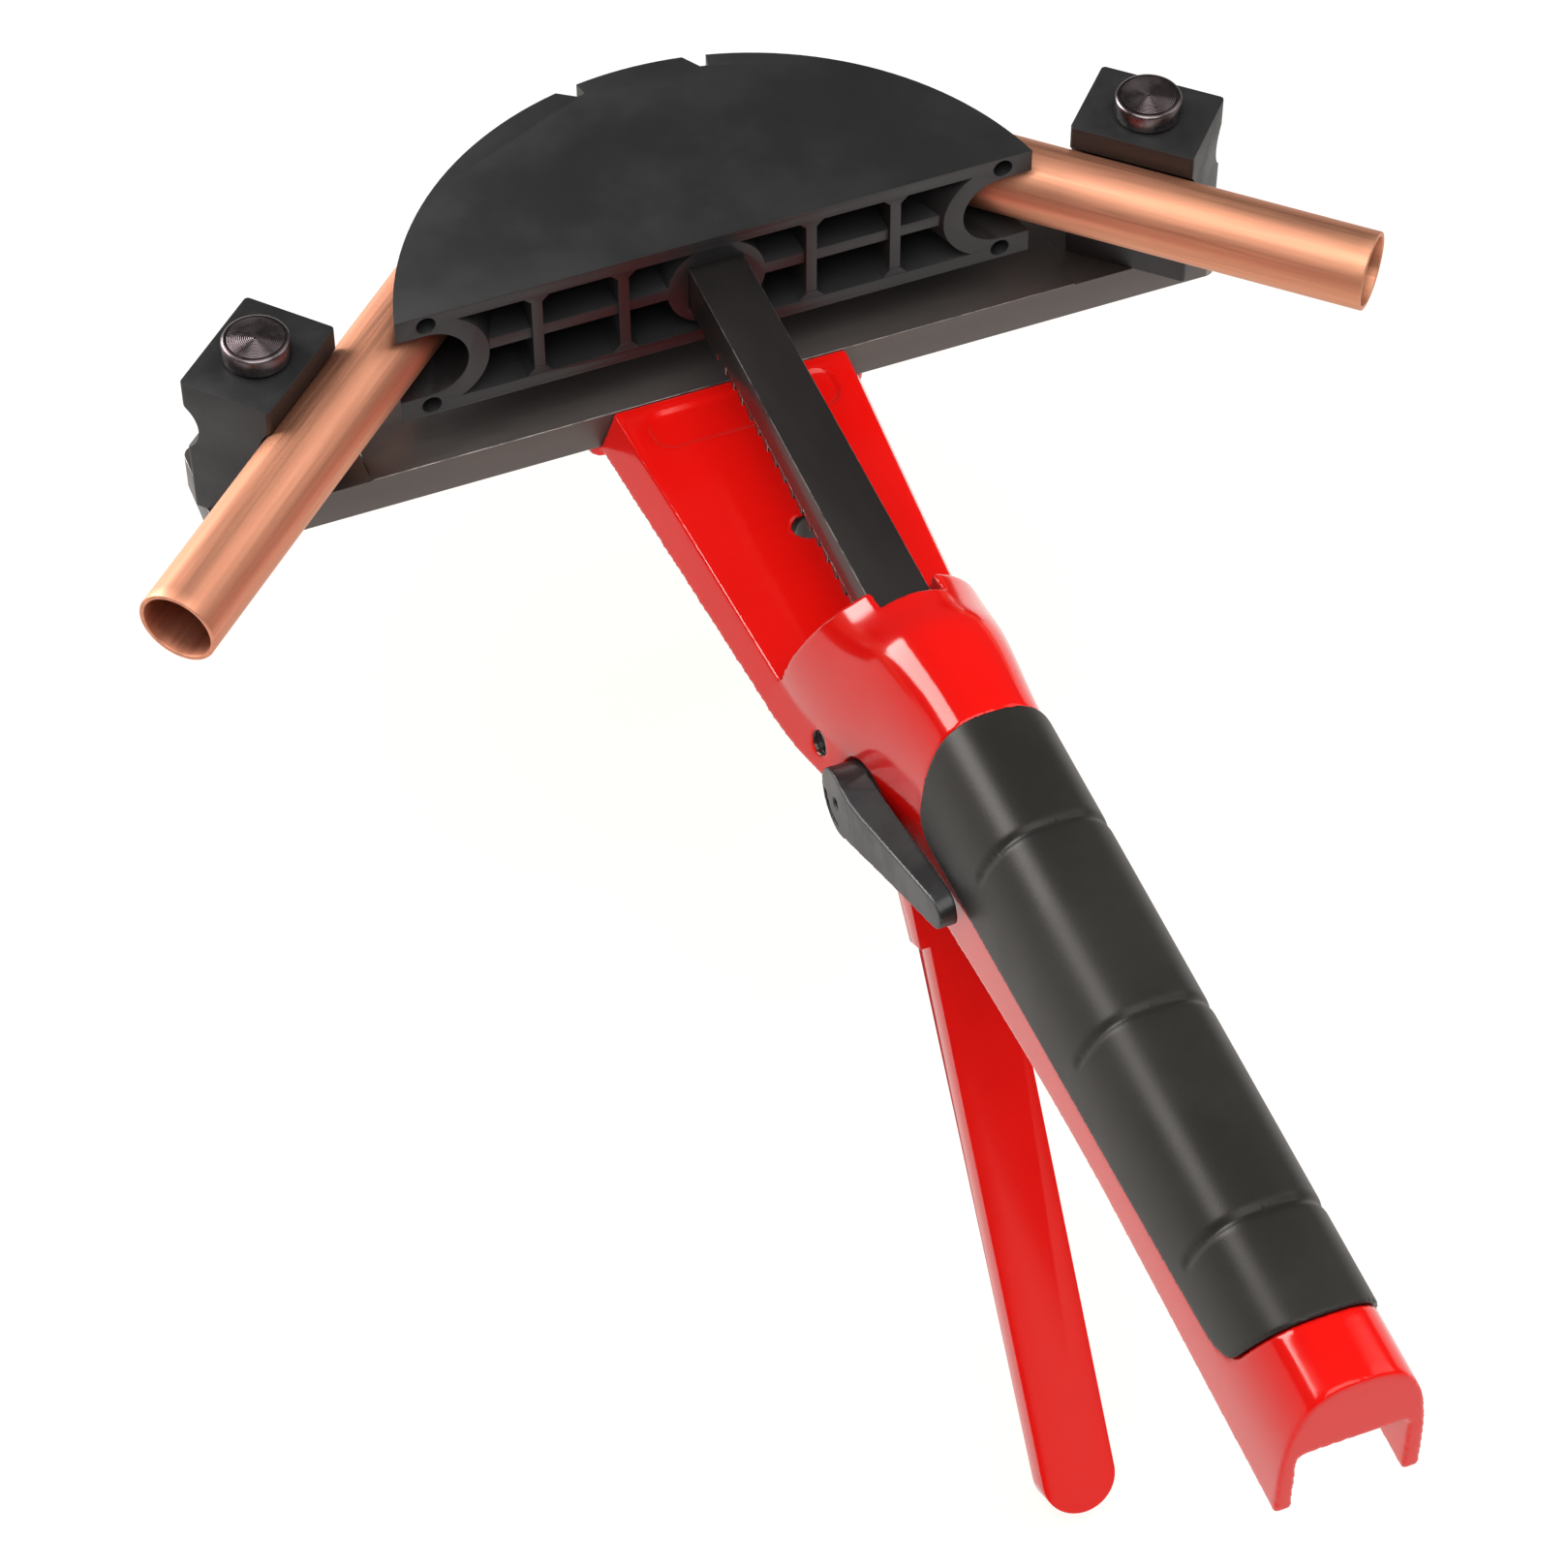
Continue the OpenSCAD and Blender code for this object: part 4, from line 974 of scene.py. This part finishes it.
def lathe(name, profile, centre, sides=96):
    """A closed turned shape from (radius, height) pairs that start and end on the axis"""
    inner = profile[1:-1]
    n = len(inner)
    points = [(centre[0], centre[1], profile[0][1])]
    for k in range(sides):
        a = 2 * math.pi * k / sides
        points += [(centre[0] + r * math.cos(a), centre[1] + r * math.sin(a), z) for r, z in inner]
    points.append((centre[0], centre[1], profile[-1][1]))
    last = len(points) - 1
    faces = []
    for k in range(sides):
        a, b = 1 + k * n, 1 + (k + 1) % sides * n
        faces.append((0, a, b))
        faces += [(a + i, a + i + 1, b + i + 1, b + i) for i in range(n - 1)]
        faces.append((a + n - 1, last, b + n - 1))
    return outward(mesh_object(name, points, faces))


class BENDER_OT_pins(bpy.types.Operator):
    """Turns the two drop-in pins, with the marks of the lathe on their heads"""

    bl_idname = "bender.pins"
    bl_label = "Pins"

    def execute(self, context):
        head = 37.45
        top = head + 5
        for side, name in ((-1, "left"), (1, "right")):
            profile = [(0, -13.5), (4.4, -13.5), (4.97, -12.9), (4.97, -11.0), (4.2, -11.0), (4.2, -9.8),
                       (4.97, -9.8), (4.97, head), (7.1, head), (7.5, head + 0.4), (7.5, top - 0.8),
                       (7.3, top - 0.35), (6.8, top - 0.1), (6.3, top)]
            for i in range(14):
                r = 6.1 - 0.42 * i
                profile += [(r, top - 0.07), (r - 0.14, top)]
            profile += [(0.2, top - 0.1), (0, top - 0.1)]
            pin = lathe(name + "_pin_turned", profile, (side * PIN_X, PIN_Y))
            finish_piece(pin, pin_steel(), "frame", "bright_steel", name + "_pin", smooth_angle=40)
        return {"FINISHED"}


class BENDER_OT_forms(bpy.types.Operator):
    """Rounds the edges of the two counter-forms"""

    bl_idname = "bender.forms"
    bl_label = "Counter-forms"

    def execute(self, context):
        for side in ("left", "right"):
            node = side + "_counter_form"
            form = bevel(cad_copy(node, side + "_form_block"), sizes().edge_round, 3, 40)
            finish_piece(form, form_plastic(), side + "_form", "black_plastic", node)
        return {"FINISHED"}


class BENDER_OT_former(bpy.types.Operator):
    """Rounds the edges of the half-disc former"""

    bl_idname = "bender.former"
    bl_label = "Former"

    def execute(self, context):
        former = bevel(cad_copy("bending_former", "former"), 0.45 * MM, 2, 38)
        finish_piece(former, former_plastic(), "ram", "black_plastic", "bending_former")
        dress("former_pin", bright_steel())
        return {"FINISHED"}


class BENDER_OT_rack(bpy.types.Operator):
    """Builds the square rack bar with its row of saw teeth"""

    bl_idname = "bender.rack"
    bl_label = "Rack"

    def execute(self, context):
        low, high = (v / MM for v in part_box("rack_bar"))
        pitch, depth, land, root = 5.0, 2.4, 0.8, 0.6
        face = -137.6
        first = face + math.ceil((low[1] + 13 - face) / pitch) * pitch
        last = face + math.floor((-18.77 - face) / pitch) * pitch
        count = int(round((last - first) / pitch))
        bar = box((low[0], low[1], RACK_LOW + depth), (high[0], high[1], RACK_HIGH))
        for y0, y1 in ((low[1], first - pitch + land), (last, high[1])):
            combine(bar, box((low[0], y0, RACK_LOW), (high[0], y1, RACK_LOW + depth + 0.2)), "UNION")
        bevel(bar, 0.45 * MM, 2)
        heel = pitch - root
        tooth = side_prism([(0, RACK_LOW), (0, RACK_LOW + depth + 0.3), (heel, RACK_LOW + depth + 0.3),
                            (heel, RACK_LOW + depth), (land, RACK_LOW)], low[0], high[0])
        bevel(tooth, 0.15 * MM, 1)
        grow(bar, row_tree(), {"Tooth": tooth, "Count": count, "First": (0, first * MM, 0),
                               "Pitch": (0, pitch * MM, 0), "Material": rack_steel()})
        drop(tooth)
        bar.name = bar.data.name = "rack"
        finish_piece(bar, rack_steel(), "ram", "black_steel", "rack_bar")
        dress("rack_stop_pin", bright_steel())
        return {"FINISHED"}


class BENDER_OT_tube(bpy.types.Operator):
    """Sweeps the copper tube along its two legs and its bend"""

    bl_idname = "bender.tube"
    bl_label = "Tube"

    def execute(self, context):
        points = []

        def leg(side, length):
            foot = Vector((side * BEND_R * math.sin(LEG_ANGLE), BEND_CENTRE_Y + BEND_R * math.cos(LEG_ANGLE),
                           AXIS_Z))
            way = Vector((side * math.cos(LEG_ANGLE), -math.sin(LEG_ANGLE), 0))
            return [foot + way * (length * i / 40) for i in range(1, 41)]

        points += reversed(leg(-1, LEFT_LEG))
        for i in range(65):
            a = -LEG_ANGLE + 2 * LEG_ANGLE * i / 64
            points.append((BEND_R * math.sin(a), BEND_CENTRE_Y + BEND_R * math.cos(a), AXIS_Z))
        points += leg(1, RIGHT_LEG)
        tube = mesh_object("tube", points, [])
        tube.data.edges.add(len(points) - 1)
        for i, edge in enumerate(tube.data.edges):
            edge.vertices = (i, i + 1)
        grow(tube, path_tree(), {"Radius": sizes().tube_radius, "Sides": 64, "Material": copper_skin()})
        modify(tube, "SOLIDIFY", thickness=sizes().tube_wall, offset=-1)
        bevel(tube, 0.25 * MM, 2, 50)
        finish_piece(tube, copper_skin(), "ram", "copper", "copper_tube", smooth_angle=50)
        return {"FINISHED"}


class BENDER_OT_lever(bpy.types.Operator):
    """Rounds the edges of the squeeze lever"""

    bl_idname = "bender.lever"
    bl_label = "Squeeze lever"

    def execute(self, context):
        lever = bevel(cad_copy("drive_lever", "lever"), 1.1 * MM, 3, 40)
        finish_piece(lever, red_enamel(), "squeeze_lever", "red_paint", "drive_lever")
        return {"FINISHED"}


class BENDER_OT_release(bpy.types.Operator):
    """Moulds the release lever and finishes its shaft"""

    bl_idname = "bender.release"
    bl_label = "Release lever"

    def execute(self, context):
        low, high = (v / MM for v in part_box("release_lever"))
        out = low[0]
        y, z = RELEASE
        lever = rod("X", out, high[0], RELEASE, RELEASE_R, 96)
        combine(lever, self.arm(out, (y - low[1] - 4.2) / math.cos(math.radians(17))), "UNION")
        combine(lever, rod("X", out + 1.5, 10, RELEASE, SHAFT_HOLE_R), "DIFFERENCE")
        combine(lever, rod("X", out - 5, 10, RELEASE, 1.3), "DIFFERENCE")
        slot = [(y + r * math.cos(math.radians(a)), z + r * math.sin(math.radians(a)))
                for r, turn in ((5.3, range(-15, -106, -10)), (6.7, range(-105, -14, 10))) for a in turn]
        combine(lever, side_prism(slot, out - 5, out + 1.1), "DIFFERENCE")
        cast_skin(lever, sizes().lever_voxel, 4, 60000)
        lever.name = lever.data.name = "release"
        finish_piece(lever, lever_plastic(), "release", "black_plastic", "release_lever", smooth_angle=180)
        dress("release_shaft", bright_steel())
        dress("release_roll_pin", spring_wire())
        return {"FINISHED"}

    def arm(self, out, length):
        """An arm that thins and toes in towards its rounded tip; each section gives its distance from the
        boss, the heights of its ridge, top and bottom, and how far in its outer and inner sides are"""
        tip_r = 4.2
        sections = [(0, 7.2, 7.4, 7.2, 0, 6.8), (5, 6.4, 7.2, 6.6, 0, 6.8), (9, 5.2, 6.8, 6.0, 0.1, 6.8),
                    (14, 4.6, 6.3, 5.6, 0.5, 6.9)]
        for i in range(7):
            share = i / 6
            sections.append((18 + (length - 18) * share, 4.4 - 1.2 * share, 6 - 1.8 * share,
                             5.4 - 1.2 * share, 0.9 + 2.4 * share, 7 + 0.5 * share))
        for i in range(1, 7):
            a = math.radians(88 * i / 6)
            sections.append((length + tip_r * math.sin(a), 3.2 * math.cos(a), tip_r * math.cos(a),
                             tip_r * math.cos(a), 3.3 + 0.5 * i / 6, 7.5))
        way = math.radians(180 - 17)
        along, across = (math.cos(way), math.sin(way)), (math.sin(way), -math.cos(way))
        points = []
        for d, ridge, top, bottom, outer, inner in sections:
            for rise, x in ((-bottom, outer), (ridge, outer), (top, inner), (-bottom, inner)):
                points.append((out + x, RELEASE[0] + d * along[0] + rise * across[0],
                               RELEASE[1] + d * along[1] + rise * across[1]))
        last = 4 * (len(sections) - 1)
        faces = [(0, 1, 2, 3), (last + 3, last + 2, last + 1, last)]
        faces += [(4 * i + k, 4 * i + (k + 1) % 4, 4 * i + 4 + (k + 1) % 4, 4 * i + 4 + k)
                  for i in range(len(sections) - 1) for k in range(4)]
        return outward(mesh_object("arm", points, faces))


class BENDER_OT_works(bpy.types.Operator):
    """Winds the springs, finishes the pawls, pins and guide inside the handle, and puts dark rings of painted
    shade in the pivot holes
    """

    bl_idname = "bender.works"
    bl_label = "Works in the handle"

    def execute(self, context):
        tree = coil_tree()
        springs = (
            ("lever_spring", "frame", 5.5, 4.0, 1.5, 1.0),
            ("holding_pawl_spring", "frame", 3.0, 2.5, 1.3, 0.8),
            ("drive_pawl_spring", "squeeze_lever", 2.0, 2.3, 1.1, 0.6),
        )
        for node, body, turns, radius, pitch, wire in springs:
            low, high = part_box(node)
            middle = (low + high) / 2
            height = turns * pitch
            spring = mesh_object(node + "_wound", [(0, 0, 0)], [])
            grow(spring, tree, {"Turns": turns, "Coil radius": radius * MM, "Height": height * MM,
                                "Wire radius": wire / 2 * MM,
                                "Place": (middle.x - height / 2 * MM, middle.y, middle.z),
                                "Material": spring_wire()})
            finish_piece(spring, spring_wire(), body, "spring_steel", node)
        for node in ("rack_guide", "holding_pawl_pin", "drive_pawl_pin"):
            dress(node, bright_steel())
        dress("lever_pivot_pin", black_oxide())
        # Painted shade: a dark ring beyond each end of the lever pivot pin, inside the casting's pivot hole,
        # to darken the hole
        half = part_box("lever_pivot_pin")[1].x / MM
        hole_shade_liner = None
        for side in (-1, 1):
            ring = rod("X", *sorted((side * (half + 0.1), side * (half + 1.5))), (PIVOT_Y, 0), 2.9)
            combine(ring, rod("X", -40, 40, (PIVOT_Y, 0), 2.1), "DIFFERENCE")
            hole_shade_liner = combine(hole_shade_liner, ring, "UNION") if hole_shade_liner else ring
        hole_shade_liner.name = hole_shade_liner.data.name = "pivot_bush"
        finish_piece(hole_shade_liner, pin_steel(), "frame", "bright_steel")
        for node, body in (("drive_pawl", "pawl"), ("holding_pawl", "hold")):
            pawl = bevel(cad_copy(node, node + "_block"), 0.2 * MM, 2, 40)
            finish_piece(pawl, pawl_steel(), body, "pawl_steel", node)
        return {"FINISHED"}


PIECES = (BENDER_OT_casting, BENDER_OT_grip, BENDER_OT_beam, BENDER_OT_pins, BENDER_OT_forms,
          BENDER_OT_former, BENDER_OT_rack, BENDER_OT_tube, BENDER_OT_lever,
          BENDER_OT_release, BENDER_OT_works)


class BENDER_PT_panel(bpy.types.Panel):
    """Lists the pieces of the tube bender"""

    bl_idname = "BENDER_PT_panel"
    bl_label = "Tube bender"
    bl_space_type = "VIEW_3D"
    bl_region_type = "UI"
    bl_category = "Bender"

    def draw(self, context):
        for group in (context.scene.bender_sizes, context.scene.bender_colours):
            for key in group.__annotations__:
                self.layout.prop(group, key)
        for operator in (BENDER_OT_stage, *PIECES):
            self.layout.operator(operator.bl_idname)


CLASSES = (BenderSizes, BenderColours, BENDER_OT_stage, *PIECES, BENDER_PT_panel)


def register():
    for item in CLASSES:
        bpy.utils.register_class(item)
    bpy.types.Scene.bender_sizes = bpy.props.PointerProperty(type=BenderSizes)
    bpy.types.Scene.bender_colours = bpy.props.PointerProperty(type=BenderColours)


def unregister():
    del bpy.types.Scene.bender_colours
    del bpy.types.Scene.bender_sizes
    for item in reversed(CLASSES):
        bpy.utils.unregister_class(item)


def main():
    register()
    bpy.ops.bender.stage()
    bpy.ops.bender.casting()
    bpy.ops.bender.grip()
    bpy.ops.bender.beam()
    bpy.ops.bender.pins()
    bpy.ops.bender.forms()
    bpy.ops.bender.former()
    bpy.ops.bender.rack()
    bpy.ops.bender.tube()
    bpy.ops.bender.lever()
    bpy.ops.bender.release()
    bpy.ops.bender.works()


if __name__ == "__main__":
    main()
